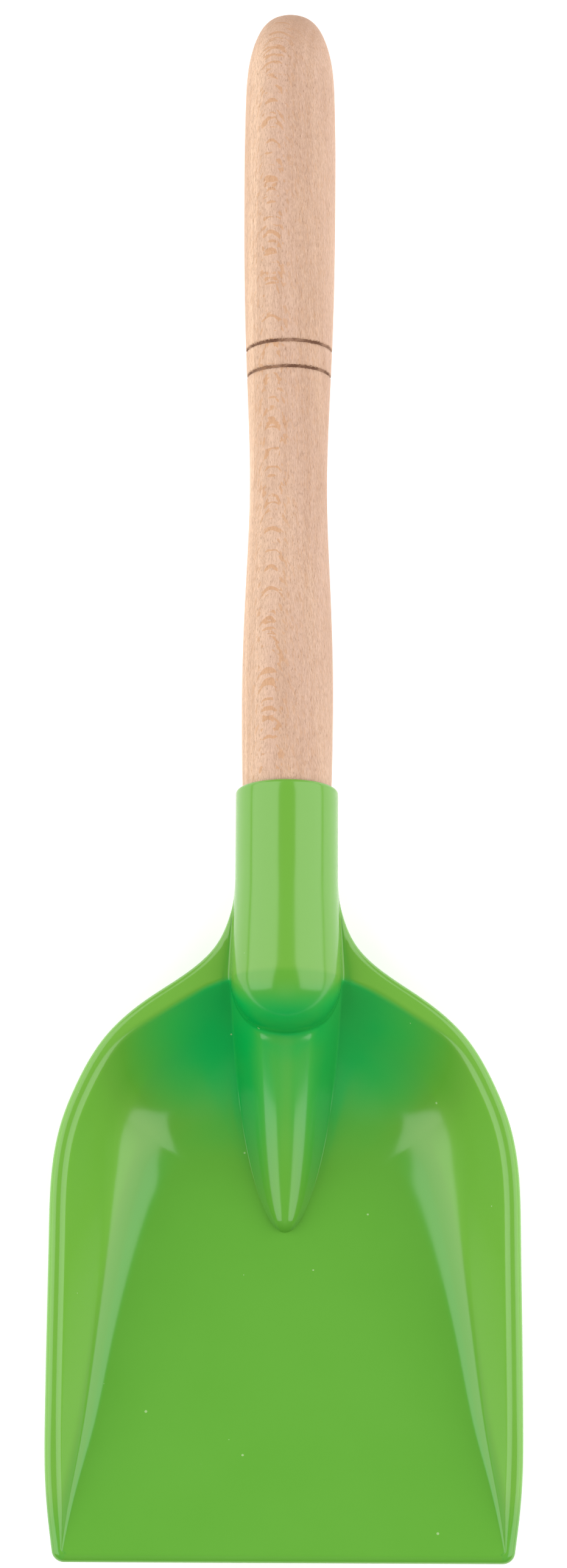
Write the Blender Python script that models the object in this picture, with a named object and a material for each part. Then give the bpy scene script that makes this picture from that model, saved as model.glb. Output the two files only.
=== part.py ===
"""Hand scoop: a one-piece moulded blade with a socket, a turned handle and the screw that holds it.

It is modelled in its working frame and then laid down in its rest pose.
Working frame: the handle's axis is Y and the socket's mouth is at y = 0.
The handle runs towards +Y, the blade towards -Y, Z points out of the bowl, and the rim is near z = 0.
The blade is symmetric about x = 0, so its right half is lofted and mirrored.
"""

import math

import bmesh
import bpy
import numpy as np
from mathutils import Matrix, Vector

MM = 0.001

# Blade, as seen from above
BLADE_WIDTH = 132.0 * MM
BLADE_LENGTH = 163.8 * MM  # from the socket's root to the front edge
WEB_LENGTH = 23.4 * MM  # the web runs this far up the socket from its root
FRONT_CORNER_RADIUS = 3.5 * MM
FRONT_NARROWING = 5.7 * MM  # corner arc's centre, inside the widest half-width
FRONT_TAPER = math.radians(8)
CORNER_FOLD_INSET = 0.8 * MM  # fold and brow run this far inside the rim's edge in the front corner
CORNER_BROW_INSET = 0.4 * MM
CORNER_FOLD_RADIUS = 0.6 * MM

# Blade, in depth
BOWL_DEPTH = 28.6 * MM  # rim to floor, at the heel
FRONT_DEPTH = 3.5 * MM  # rim plane to floor, at the front edge
RIM_DROP = 3.75 * MM  # the rim comes down this far towards the front corners
RIM_DROP_START = 43.1 * MM  # from the front edge
RIM_DROP_END = 4.8 * MM
WALL = 2.5 * MM
RIM_THICKNESS = 3.0 * MM
RIM_ROUND = 2.2 * MM  # outer rounding of the rim, also of the front edge
RIM_KNEE = 0.75  # the outer rounding comes down this share of the rim's thickness
RIM_UNDER_ROUND = 0.6 * MM
BROW_RADIUS = 3.0 * MM  # rounding between the rim and the inside of the wall
UNDER_RIM_RADIUS = 1.5 * MM

# Socket
TENON_RADIUS = 12.5 * MM
TENON_LENGTH = 49.0 * MM
FIT_CLEARANCE = 0.3 * MM
SOCKET_WALL = 1.6 * MM
SOCKET_FLARE = 1.15 * MM  # the socket is this much larger in radius at its root
SOCKET_FLARE_START = 24.0 * MM
ROOT_PAST_TENON = 5.3 * MM  # the dome starts at the root, this far beyond the tenon's end
MOUTH_ROUND = 1.2 * MM
MOUTH_CHAMFER = 0.3 * MM
BORE_END_GAP = 1.0 * MM  # room beyond the tenon before the bore rounds off
BORE_END_LENGTH = 9.0 * MM

# Ridge that carries the socket's load down onto the floor
RIDGE_LENGTH = 67.8 * MM  # root to tip
RIDGE_NOSE_RISE = 3.0 * MM  # the crest rises this much in a steep nose at the tip
RIDGE_NOSE_LENGTH = 1.1 * MM
RIDGE_TIP_SLOPE = math.radians(6)
RIDGE_DOME_SLOPE = math.radians(32)  # where the crest meets the domed end of the socket
RIDGE_BEND_START = 6.0 * MM  # from the tip; from here on the crest bends up
RIDGE_CREST_SHARE_TIP = 0.95  # radius of the rounded crest, as a share of the foot's half-width
RIDGE_CREST_SHARE_ROOT = 0.6
RIDGE_BASE_POWER = 1.4
STEEPEST_FLANK = math.radians(88)
BOW_POWER = 1.5  # how quickly ribs and rows bend round near the socket
RIDGE_TIP_WALL = 4.5 * MM  # the hollow under the ridge starts this far behind its tip
HOLLOW_RISE = 2.2 * MM  # of the hollow, at its end under the socket
HOLLOW_CREST_RADIUS = 1.5 * MM  # at least

# Handle
HANDLE_REACH = 229.9 * MM  # mouth to the end of the handle
GRIP_RADIUS = 13.0 * MM
WAIST_RADIUS = 10.96 * MM
SWELL_RADIUS = 12.82 * MM
WAIST_PLACE = 85.8 * MM
SWELL_PLACE = 31.1 * MM
GRIP_PLACE = 175.2 * MM
GRIP_SHOULDER_SHARE = 0.4  # radius half-way between waist and grip, as a share of the step between them
GRIP_SHOULDER_FILL = 0.5 * MM  # and this much more
WAIST_SHOULDER_FILL = 0.1 * MM
END_ROUND_LENGTH = 41.8 * MM
# The rounded end, from its pole: (share of its length, share of the grip's radius)
END_KEYS = ((0.0, 0.0), (0.02, 0.37), (0.07, 0.575), (0.155, 0.735), (0.33, 0.9), (0.62, 0.978), (1.0, 1.0))
GROOVE_PLACES = (121.4 * MM, 129.0 * MM)
GROOVE_WIDTH = 1.2 * MM
GROOVE_DEPTH = 0.45 * MM
TENON_CHAMFER = 1.0 * MM

# Screw, up through the underside of the socket
SCREW_PLACE = 22.0 * MM
SCREW_SHANK_RADIUS = 1.7 * MM
SCREW_HEAD_RADIUS = 3.4 * MM
SCREW_HEAD_HEIGHT = 2.2 * MM
SCREW_LENGTH = 12.0 * MM  # under the head
SCREW_POINT = 3.0 * MM  # the shank narrows over this length
SCREW_TIP = 1.2 * MM  # and to half its radius over this one
SCREW_HEAD_KEYS = ((1.0, 0.0), (1.0, 0.45), (0.8, 0.85), (0.45, 1.0), (0.0, 1.0))  # shares of radius, height
BOSS_RADIUS = 4.6 * MM
BOSS_DROP = 1.0 * MM  # below the lowest line of the socket
DRIVE_WIDTH = 0.9 * MM
DRIVE_DEPTH = 1.2 * MM
DRIVE_LENGTH = 3.8 * MM

# How finely the surfaces are divided, and what is merged
FLOOR_STEPS = 4
FOLD_STEPS = 5
WALL_STEPS = 2
BROW_STEPS = 2
FLAT_STEPS = 1
STATIONS_PER_RIB = 2
CORNER_STATIONS = 3
RIM_STEPS = 4
ARCH_STEPS = 6
HALVINGS = 40  # when a slope is found by halving
DOME_STEPS = 4
MOUTH_STEPS = 3
BORE_END_STEPS = 4
BOSS_SIDES = 24
SCREW_SIDES = 16
HANDLE_STEPS = 15
HANDLE_END_STEPS = 8
TURNED_STEPS = 28
END_CROWDING = 1.6  # crowds the rounded end's rings towards its pole
GROOVE_ROOM = 2.5 * MM  # no other ring lies this near a groove
MERGE = 0.002 * MM

HALF_WIDTH = BLADE_WIDTH / 2
SOCKET_ROOT = TENON_LENGTH + ROOT_PAST_TENON
MOUTH_Y = 0.0
ROOT_Y = -SOCKET_ROOT
FRONT_Y = ROOT_Y - BLADE_LENGTH
RIDGE_TIP_Y = ROOT_Y - RIDGE_LENGTH
BORE_RADIUS = TENON_RADIUS + FIT_CLEARANCE
SOCKET_RADIUS = BORE_RADIUS + SOCKET_WALL
ROOT_RADIUS = SOCKET_RADIUS + SOCKET_FLARE
HEEL_SHARE = 0.1743  # where floor and back wall meet, as a share of the blade's length

# The blade's lines: one row per rib, from the front corner round the shoulder to the socket's side.
# Each row has the rib's start on the centre line (share of length), then the fold between floor and
# wall, the brow between wall and rim, and the rim's edge, each as (share of width, share of length),
# and last the radius of the fold. Shares of width run from the socket's side to the widest point.
# Shares of length run forwards from the socket's root; below zero they are shares of the web.
RIBS = (
    (0.912, (0.866, 0.912), (0.911, 0.910), (0.984, 0.910), 1.8 * MM),
    (0.847, (0.826, 0.847), (0.919, 0.844), (0.998, 0.844), 3.0 * MM),
    (0.771, (0.778, 0.771), (0.921, 0.767), (1.000, 0.767), 5.0 * MM),
    (0.635, (0.704, 0.611), (0.916, 0.605), (0.996, 0.605), 8.0 * MM),
    (0.523, (0.630, 0.446), (0.910, 0.440), (0.990, 0.440), 13.0 * MM),
    (0.460, (0.573, 0.321), (0.891, 0.314), (0.971, 0.312), 19.0 * MM),
    (0.440, (0.536, 0.270), (0.847, 0.251), (0.926, 0.245), 23.0 * MM),
    (0.428, (0.461, 0.229), (0.778, 0.195), (0.852, 0.185), 29.0 * MM),
    (0.421, (0.347, 0.201), (0.630, 0.117), (0.694, 0.100), 36.0 * MM),
    (0.416, (0.208, 0.185), (0.412, 0.065), (0.470, 0.035), 42.0 * MM),
    (0.414, (0.069, 0.178), (0.180, 0.021), (0.254, -0.076), 45.0 * MM),
    (0.412, (-0.015, 0.175), (0.058, 0.006), (0.077, -0.448), 45.0 * MM),
)
FIRST_BOWED_RIB = 6  # from here on the ribs bend round the foot of the ridge


def clear_scene():
    for old in list(bpy.data.objects):
        bpy.data.objects.remove(old, do_unlink=True)


def smoothstep(value):
    inside = min(max(value, 0.0), 1.0)
    return inside * inside * (3 - 2 * inside)


def cubic_through(places, rows):
    """Natural cubic spline: a function that gives the row at any place between the given ones."""
    places = np.asarray(places, float)
    rows = np.asarray(rows, float)
    count = len(places)
    gaps = np.diff(places)
    system = np.eye(count)
    bends = np.zeros_like(rows)
    for i in range(1, count - 1):
        system[i, i - 1] = gaps[i - 1]
        system[i, i] = 2 * (gaps[i - 1] + gaps[i])
        system[i, i + 1] = gaps[i]
        bends[i] = 6 * ((rows[i + 1] - rows[i]) / gaps[i] - (rows[i] - rows[i - 1]) / gaps[i - 1])
    curvature = np.linalg.solve(system, bends)

    def at(place):
        i = int(np.clip(np.searchsorted(places, place) - 1, 0, count - 2))
        left = (places[i + 1] - place) / gaps[i]
        right = 1 - left
        bend = (left**3 - left) * curvature[i] + (right**3 - right) * curvature[i + 1]
        return left * rows[i] + right * rows[i + 1] + bend * gaps[i] ** 2 / 6

    return at


def rounded_path(corners, radii, limits, counts, spacing=1.0):
    """Points along a polyline whose inner corners are rounded as circular arcs.

    limits has, for each rounded corner, the share of the stretch before it and after it that its
    rounding may take. counts has the number of steps of each stretch and rounding in turn.
    spacing above 1 crowds the first stretch's points towards its start.
    """
    points = [corners[0].copy()]
    leave = corners[0]
    for i, radius in enumerate(radii):
        before = corners[i]
        corner = corners[i + 1]
        after = corners[i + 2]
        back = (before - corner).normalized()
        onward = (after - corner).normalized()
        turn = math.pi - back.angle(onward)
        reach = min(
            max(radius * math.tan(turn / 2), 0.05 * MM),
            limits[i][0] * (corner - before).length,
            limits[i][1] * (after - corner).length,
        )
        enter = corner + back * reach
        stretch_power = spacing if i == 0 else 1.0
        steps = counts[2 * i]
        points += [leave.lerp(enter, (k / steps) ** stretch_power) for k in range(1, steps + 1)]
        leave = corner + onward * reach
        weight = math.cos(turn / 2)
        arc_steps = counts[2 * i + 1]
        for k in range(1, arc_steps + 1):
            along = k / arc_steps
            parts = ((1 - along) ** 2, 2 * weight * along * (1 - along), along**2)
            blend = enter * parts[0] + corner * parts[1] + leave * parts[2]
            points.append(blend / sum(parts))
    steps = counts[-1]
    points += [leave.lerp(corners[-1], k / steps) for k in range(1, steps + 1)]
    return points


def floor_height(y):
    heel_y = ROOT_Y - HEEL_SHARE * BLADE_LENGTH
    slope = (BOWL_DEPTH - FRONT_DEPTH) / (heel_y - FRONT_Y)
    return -FRONT_DEPTH - (y - FRONT_Y) * slope


def floor_normal():
    slope = floor_height(FRONT_Y) - floor_height(FRONT_Y + 1.0)
    return Vector((0, slope, 1)).normalized()


def under_floor_height(y):
    return floor_height(y) - WALL / floor_normal().z


def rim_height(y):
    fall = (FRONT_Y + RIM_DROP_START - y) / (RIM_DROP_START - RIM_DROP_END)
    return -RIM_DROP * smoothstep(fall)


def socket_radius(y):
    flared = (-SOCKET_FLARE_START - y) / (SOCKET_ROOT - SOCKET_FLARE_START)
    return SOCKET_RADIUS + SOCKET_FLARE * smoothstep(flared)


def base_half_width(y, tip_y, root_half_width):
    """Half the width of the ridge's foot at y: round at its tip, parallel at the socket's root."""
    share = min(max((y - tip_y) / (ROOT_Y - tip_y), 0.0), 1.0)
    return root_half_width * math.sqrt(1 - (1 - share) ** RIDGE_BASE_POWER)


def blade_x(share):
    return ROOT_RADIUS + share * (HALF_WIDTH - ROOT_RADIUS)


def blade_y(share):
    if share < 0:
        return ROOT_Y - share * WEB_LENGTH
    return ROOT_Y - share * BLADE_LENGTH


def corner_centre():
    return Vector((HALF_WIDTH - FRONT_NARROWING, FRONT_Y + FRONT_CORNER_RADIUS))


def corner_station(share):
    """Plan of a rib in the front corner: share 0 is the front edge, 1 is where the side starts."""
    angle = share * (math.pi / 2 - FRONT_TAPER)
    outward = Vector((math.sin(angle), -math.cos(angle)))
    centre = corner_centre()
    rim = centre + outward * FRONT_CORNER_RADIUS
    edge = centre + outward * (FRONT_CORNER_RADIUS - RIM_ROUND)
    side_edge_y = centre.y - math.sin(FRONT_TAPER) * (FRONT_CORNER_RADIUS - RIM_ROUND)
    mid_y = FRONT_Y + RIM_ROUND + share * (side_edge_y - FRONT_Y - RIM_ROUND)
    fold = Vector((edge.x - CORNER_FOLD_INSET, mid_y))
    brow = Vector((edge.x - CORNER_BROW_INSET, (mid_y + edge.y) / 2))
    return mid_y, fold, brow, rim, outward, CORNER_FOLD_RADIUS


def side_ribs():
    """The plan rows of all ribs from the front corner to the socket, in metres."""
    mid_y, fold, brow, rim, _, radius = corner_station(1.0)
    rows = [(mid_y, *fold, *brow, *rim, radius)]
    for mid, fold, brow, rim, radius in RIBS:
        points = [coordinate for x, y in (fold, brow, rim) for coordinate in (blade_x(x), blade_y(y))]
        rows.append((blade_y(mid), *points, radius))
    web_y = ROOT_Y + WEB_LENGTH
    heel_y = ROOT_Y - HEEL_SHARE * BLADE_LENGTH
    foot = base_half_width(heel_y, RIDGE_TIP_Y, ROOT_RADIUS)
    last = (RIDGE_TIP_Y, foot, heel_y, ROOT_RADIUS, ROOT_Y, socket_radius(web_y), web_y, RIBS[-1][-1])
    return rows + [last]


def stations():
    """Plan of every rib that is lofted: mid_y, fold, brow, rim, outward, fold radius, bow, rim share."""
    plans = []
    for k in range(CORNER_STATIONS):
        plans.append((*corner_station(k / CORNER_STATIONS), 0.0, 1.0))
    rows = side_ribs()
    rims = [Vector(row[5:7]) for row in rows]
    places = np.concatenate(([0.0], np.cumsum([(b - a).length for a, b in zip(rims, rims[1:])])))
    lines = cubic_through(places, rows)
    knots = len(rows) - 1
    for k in range(knots * STATIONS_PER_RIB + 1):
        rib, part = divmod(k, STATIONS_PER_RIB)
        rib, part = (knots - 1, STATIONS_PER_RIB) if rib == knots else (rib, part)
        place = places[rib] + (places[rib + 1] - places[rib]) * part / STATIONS_PER_RIB
        row = lines(place)
        nudge = 0.05 * MM
        tangent = Vector(lines(min(place + nudge, places[-1]))[5:7] - lines(max(place - nudge, 0))[5:7])
        outward = Vector((-tangent.y, tangent.x)).normalized() * -1
        progress = k / STATIONS_PER_RIB
        bowed = min(max((progress - FIRST_BOWED_RIB) / (knots - FIRST_BOWED_RIB), 0), 1)
        bow = 1 - (1 - bowed) ** BOW_POWER
        rim_share = smoothstep(knots - progress)
        fold, brow, rim = Vector(row[1:3]), Vector(row[3:5]), Vector(row[5:7])
        plans.append((row[0], fold, brow, rim, outward, max(row[7], 0.5 * MM), bow, rim_share))
    return plans


SECTION_COUNTS = (FLOOR_STEPS, FOLD_STEPS, WALL_STEPS, BROW_STEPS, FLAT_STEPS)
SECTION_LIMITS = ((0.9, 0.6), (0.38, 0.9))


def upper_corners(plan, is_front):
    mid_y, fold, brow, rim, outward, _, _, rim_share = plan
    edge = rim - outward * RIM_ROUND * rim_share
    height = floor_height(edge.y) if is_front else max(rim_height(edge.y), floor_height(edge.y) + 0.05 * MM)
    return [
        Vector((0, mid_y, floor_height(mid_y))),
        Vector((*fold, floor_height(fold.y))),
        Vector((*brow, height)),
        Vector((*edge, height)),
    ]


def under_corners(plan, corners, wall_normal, is_front):
    """The same section on the outside of the wall, its corners moved out by the wall's thickness."""
    mid_y, _, _, rim, outward, _, bow, rim_share = plan
    up = floor_normal()
    fold = corners[1] - (up + wall_normal) * WALL / (1 + up.dot(wall_normal))
    edge = rim - outward * RIM_UNDER_ROUND * rim_share
    if is_front:
        fold.y = edge.y
    fold.z = under_floor_height(fold.y)
    height = under_floor_height(edge.y)
    if not is_front:
        height = max(corners[3].z - RIM_THICKNESS, height, fold.z + 0.05 * MM)
    rise = corners[2].z - corners[1].z
    along = (height - fold.z) / rise if rise > 0.5 * MM else 1.0
    brow = fold + (corners[2] - corners[1]) * along
    brow.z = height
    start_y = edge.y if is_front else mid_y + bow * RIDGE_TIP_WALL
    return [
        Vector((0, start_y, under_floor_height(start_y))),
        fold,
        brow,
        Vector((*edge, height)),
    ]


def blade_sections():
    """Rows of points from the centre line to the rim: the bowl's inside, and its outside."""
    plans = stations()
    corners = [upper_corners(plan, i == 0) for i, plan in enumerate(plans)]
    upper = []
    under = []
    for i, plan in enumerate(plans):
        radius, bow = plan[5], plan[6]
        ahead = corners[min(i + 1, len(plans) - 1)]
        behind = corners[max(i - 1, 0)]
        run = (ahead[1] + ahead[2]) - (behind[1] + behind[2])
        wall_normal = run.cross(corners[i][2] - corners[i][1]).normalized()
        if wall_normal.z < 0:
            wall_normal.negate()
        if i <= CORNER_STATIONS:
            wall_normal = floor_normal()
        outside = under_corners(plan, corners[i], wall_normal, i == 0)
        spacing = 1 + bow
        upper.append(rounded_path(corners[i], (radius, BROW_RADIUS), SECTION_LIMITS, SECTION_COUNTS, spacing))
        radii = (radius + WALL, UNDER_RIM_RADIUS)
        under.append(rounded_path(outside, radii, SECTION_LIMITS, SECTION_COUNTS, spacing))
    return plans, upper, under


def bend_round_foot(plans, sections, foot):
    """Moves each rib sideways: the last one follows the foot of the ridge and its neighbours fan off."""
    last = sections[-1]
    shifts = [foot(point) - point.x for point in last]
    for plan, section in zip(plans, sections):
        bow = plan[6]
        for point, shift in zip(section, shifts):
            point.x += bow * shift
    for point in last:
        point.x = foot(point)
    for section in sections:
        section[0].x = 0.0


def upper_foot(point):
    if point.y > ROOT_Y:
        return socket_radius(point.y)
    return base_half_width(point.y, RIDGE_TIP_Y, ROOT_RADIUS)


def hollow_end_index():
    return FLOOR_STEPS + FOLD_STEPS + WALL_STEPS // 2


def under_foot_for(sections):
    """Outside, the last rib follows the socket's round underside, then the edge of the ridge's hollow."""
    end = sections[-1][hollow_end_index()]
    end_half_width = math.sqrt(ROOT_RADIUS**2 - end.z**2)
    tip_y = RIDGE_TIP_Y + RIDGE_TIP_WALL
    root_half_width = end_half_width * ROOT_RADIUS / base_half_width(end.y, tip_y, ROOT_RADIUS)

    def foot(point):
        if point.y >= end.y - 0.001 * MM:
            return math.sqrt(socket_radius(point.y) ** 2 - point.z**2)
        return base_half_width(point.y, tip_y, root_half_width)

    return foot


def arch_height(x, half_width, rise, crest_radius):
    """Height at x of a rounded-A section: a round crest, then straight sides down to zero at half_width."""
    if rise <= 0 or half_width <= 0:
        return rise
    widest = (half_width**2 + rise**2) / (2 * rise)
    radius = min(crest_radius, widest)
    low, high = 0.0, STEEPEST_FLANK
    for _ in range(HALVINGS):
        angle = (low + high) / 2
        side = (half_width - radius * math.sin(angle)) * math.tan(angle)
        if radius * (1 - math.cos(angle)) + side > rise:
            high = angle
        else:
            low = angle
    x = min(abs(x), half_width)
    if x < radius * math.sin(angle):
        return rise - (radius - math.sqrt(radius**2 - x**2))
    return (half_width - x) * math.tan(angle)


def ridge_crest(y):
    """How far the ridge's crest is above its tip: a short nose, a gentle rise, then a bend up to the dome."""
    along = y - RIDGE_TIP_Y
    nose = RIDGE_NOSE_RISE * (1 - math.exp(-along / RIDGE_NOSE_LENGTH))
    low_slope, high_slope = math.tan(RIDGE_TIP_SLOPE), math.tan(RIDGE_DOME_SLOPE)
    bend_length = RIDGE_LENGTH - ROOT_RADIUS - RIDGE_BEND_START
    bent = min(max(along - RIDGE_BEND_START, 0.0), bend_length)
    past_dome = max(along - RIDGE_BEND_START - bend_length, 0.0)
    steepening = (high_slope - low_slope) * (bent**2 / (2 * bend_length) + past_dome)
    return nose + low_slope * along + steepening


def ridge_surface(foot_row, foot_width, crest_height, radius_change=0.0):
    """A function giving the ridge's height at (x, y), from the row of points along its foot."""
    ys = [point.y for point in foot_row]
    zs = [point.z for point in foot_row]

    def height(x, y):
        foot_z = float(np.interp(y, ys, zs))
        half_width = foot_width(y)
        rise = crest_height(y) - foot_z
        share = (y - RIDGE_TIP_Y) / RIDGE_LENGTH
        crest_share = RIDGE_CREST_SHARE_TIP + share * (RIDGE_CREST_SHARE_ROOT - RIDGE_CREST_SHARE_TIP)
        radius = max(half_width * crest_share + radius_change, HOLLOW_CREST_RADIUS)
        return min(foot_z + arch_height(x, half_width, rise, radius), 0.0)

    return height


def socket_arch(start, y, radius, from_angle, to_angle):
    """Points round the socket from a start point, which they keep, to the centre plane."""
    points = [start.copy()]
    for k in range(1, ARCH_STEPS + 1):
        angle = from_angle + (to_angle - from_angle) * k / ARCH_STEPS
        points.append(Vector((radius * math.cos(angle), y, radius * math.sin(angle))))
    points[-1].x = 0.0
    return points


def ridge_rows(foot_row, height, bow_start, round_start):
    """Rows across the ridge from its foot to its crest, bowed at the root and straight at the tip."""
    rows = []
    root, tip = foot_row[-1], foot_row[0]
    for point in reversed(foot_row[:-1]):
        share = (root.y - point.y) / (root.y - tip.y)
        bow = bow_start * (1 - share) ** BOW_POWER
        even = min(1.0, 4 * share) if round_start else 1.0
        row = [point.copy()]
        for k in range(1, ARCH_STEPS + 1):
            angle = math.pi / 2 * k / ARCH_STEPS
            inward = (1 - even) * (1 - math.cos(angle)) + even * k / ARCH_STEPS
            back = (1 - even) * math.sin(angle) + even * inward * (2 - inward)
            x = point.x * (1 - inward)
            y = max(point.y - bow * back, tip.y)
            row.append(Vector((x, y, height(x, y))))
        row[-1].x = 0.0
        rows.append(row)
    return rows


def upper_centre_rows(foot):
    """Rows over the socket, its domed end and the ridge, from the web's end down to the ridge's tip."""
    pole_index = FLOOR_STEPS + FOLD_STEPS + WALL_STEPS + BROW_STEPS // 2
    pole = foot[pole_index]
    rows = []
    for point in reversed(foot[pole_index:]):
        rows.append(socket_arch(point, point.y, socket_radius(point.y), 0.0, math.pi / 2))
    for k in range(1, DOME_STEPS + 1):
        tilt = math.pi / 2 * k / DOME_STEPS
        row = [pole.copy()]
        for flat in rows[len(foot) - 1 - pole_index][1:]:
            drop = Vector((flat.x, pole.y - flat.z * math.sin(tilt), flat.z * math.cos(tilt)))
            row.append(drop)
        rows.append(row)
    height = ridge_surface(
        foot[: pole_index + 1],
        lambda y: base_half_width(y, RIDGE_TIP_Y, ROOT_RADIUS),
        lambda y: foot[0].z + ridge_crest(y),
    )
    landing = [pole.copy()]
    for point in rows[-1][1:]:
        landing.append(Vector((point.x, point.y, height(point.x, point.y))))
    rows.append(landing)
    rows += ridge_rows(foot[: pole_index + 1], height, ROOT_RADIUS, True)
    return rows


def under_centre_rows(foot, foot_width):
    """Rows under the socket, then down its end and along the inside of the hollow ridge."""
    end_index = hollow_end_index()
    rows = []
    for point in reversed(foot[end_index:]):
        radius = socket_radius(point.y)
        rows.append(socket_arch(point, point.y, radius, math.asin(point.z / radius), -math.pi / 2))
    tip, end = foot[0], foot[end_index]
    crest_slope = (end.z + HOLLOW_RISE - tip.z) / (end.y - tip.y)
    height = ridge_surface(
        foot[: end_index + 1],
        lambda y: foot_width(Vector((0, y, end.z))),
        lambda y: tip.z + (y - tip.y) * crest_slope,
        -WALL,
    )
    start = [end.copy()]
    for k in range(1, ARCH_STEPS + 1):
        x = end.x * (1 - k / ARCH_STEPS)
        start.append(Vector((x, end.y, height(x, end.y))))
    rows.append(start)
    rows += ridge_rows(foot[: end_index + 1], height, 0.0, False)
    return rows


def rim_strip(plans, upper, under):
    """Rows round the outer edge from the top face to the underside, at the front edge and up the side."""
    rows = []

    def row_between(top, bottom, outward, overhang):
        height = top.z - bottom.z
        knee = RIM_KNEE * height
        row = [top.copy()]
        for k in range(1, RIM_STEPS):
            angle = math.pi / 2 * k / (RIM_STEPS - 1)
            out = outward * overhang * math.sin(angle)
            row.append(top + Vector((out.x, out.y, -knee * (1 - math.cos(angle)))))
        row.append(bottom.copy())
        return row

    front = Vector((0, -1))
    for top, bottom in zip(upper[0][:-1], under[0][:-1]):
        rows.append(row_between(top, bottom, front, RIM_ROUND))
    for plan, top, bottom in zip(plans, upper, under):
        rows.append(row_between(top[-1], bottom[-1], plan[4], RIM_ROUND * plan[7]))
    for point in rows[-1]:
        point.y = rows[-1][0].y
        point.x = math.sqrt(socket_radius(point.y) ** 2 - point.z**2)
    return rows


def socket_rows(ring):
    """Rows from the web's end up to the mouth, round its lip, down the bore and over the bore's end."""
    angles = [math.atan2(point.z, point.x) for point in ring]

    def circle(radius, y):
        row = [Vector((radius * math.cos(a), y, radius * math.sin(a))) for a in angles]
        row[0].x = 0.0
        row[-1].x = 0.0
        return row

    straight_end = MOUTH_Y - MOUTH_ROUND
    rows = [[point.copy() for point in ring]]
    rows.append(circle(socket_radius(-SOCKET_FLARE_START), -SOCKET_FLARE_START))
    rows.append(circle(SOCKET_RADIUS, straight_end))
    for k in range(1, MOUTH_STEPS + 1):
        angle = math.pi / 2 * k / MOUTH_STEPS
        radius = SOCKET_RADIUS - MOUTH_ROUND * (1 - math.cos(angle))
        rows.append(circle(radius, straight_end + MOUTH_ROUND * math.sin(angle)))
    rows.append(circle(BORE_RADIUS + MOUTH_CHAMFER, MOUTH_Y))
    rows.append(circle(BORE_RADIUS, MOUTH_Y - MOUTH_CHAMFER))
    bore_end = MOUTH_Y - TENON_LENGTH - BORE_END_GAP
    rows.append(circle(BORE_RADIUS, bore_end))
    for k in range(1, BORE_END_STEPS):
        angle = math.pi / 2 * k / BORE_END_STEPS
        rows.append(circle(BORE_RADIUS * math.cos(angle), bore_end - BORE_END_LENGTH * math.sin(angle)))
    rows.append([Vector((0, bore_end - BORE_END_LENGTH, 0)) for _ in ring])
    return rows


def loft(bm, rows):
    """A grid whose rows of vertices are moved onto the given rows of points."""
    across = len(rows[0]) - 1
    grid = bmesh.ops.create_grid(bm, x_segments=across, y_segments=len(rows) - 1, size=1.0)
    for k, vertex in enumerate(grid["verts"]):
        row, column = divmod(k, across + 1)
        vertex.co = rows[row][column]


def new_object(name, bm, material, parent):
    mesh = bpy.data.meshes.new(name)
    bm.to_mesh(mesh)
    bm.free()
    mesh.shade_smooth()
    mesh.set_sharp_from_angle(angle=math.radians(35))
    mesh.materials.append(material)
    made = bpy.data.objects.new(name, mesh)
    bpy.context.collection.objects.link(made)
    made.parent = parent
    return made


def cut_or_join(target, tool, operation):
    """Boolean on target with tool, which stays in the file as a hidden wire shape."""
    tool.hide_render = True
    tool.display_type = "WIRE"
    modifier = target.modifiers.new(tool.name, "BOOLEAN")
    modifier.operation = operation
    modifier.object = tool
    modifier.solver = "EXACT"


def plastic_material():
    return surface_material("green_polypropylene", (0.137, 0.440, 0.047, 1), 0.28, 0.0)


def surface_material(name, colour, roughness, metallic):
    material = bpy.data.materials.new(name)
    material.use_nodes = True
    shader = material.node_tree.nodes["Principled BSDF"]
    shader.inputs["Base Color"].default_value = colour
    shader.inputs["Roughness"].default_value = roughness
    shader.inputs["Metallic"].default_value = metallic
    return material


def blade_mesh():
    plans, upper, under = blade_sections()
    bend_round_foot(plans, upper, upper_foot)
    under_foot = under_foot_for(under)
    bend_round_foot(plans, under, under_foot)
    strip = rim_strip(plans, upper, under)
    over_rows = upper_centre_rows(upper[-1])
    under_rows = under_centre_rows(under[-1], under_foot)
    ring = list(reversed(over_rows[0])) + strip[-1][1:-1] + under_rows[0]
    bm = bmesh.new()
    for rows in (upper, under, strip, over_rows, under_rows, socket_rows(ring)):
        loft(bm, rows)
    bmesh.ops.remove_doubles(bm, verts=bm.verts, dist=MERGE)
    bmesh.ops.dissolve_degenerate(bm, edges=bm.edges, dist=MERGE)
    bmesh.ops.mirror(bm, geom=bm.verts[:] + bm.edges[:] + bm.faces[:], axis="X", merge_dist=MERGE)
    bmesh.ops.remove_doubles(bm, verts=bm.verts, dist=MERGE)
    bmesh.ops.recalc_face_normals(bm, faces=bm.faces)
    return bm


def turned(profile, steps):
    """A closed solid turned about the Y axis from (radius, y) points that start and end on the axis."""
    bm = bmesh.new()
    verts = [bm.verts.new((radius, y, 0)) for radius, y in profile]
    edges = [bm.edges.new(pair) for pair in zip(verts, verts[1:])]
    bmesh.ops.spin(
        bm,
        geom=verts + edges,
        cent=(0, 0, 0),
        axis=(0, 1, 0),
        angle=2 * math.pi,
        steps=steps,
        use_merge=True,
    )
    bmesh.ops.remove_doubles(bm, verts=bm.verts, dist=MERGE)
    bmesh.ops.recalc_face_normals(bm, faces=bm.faces)
    return bm


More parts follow.
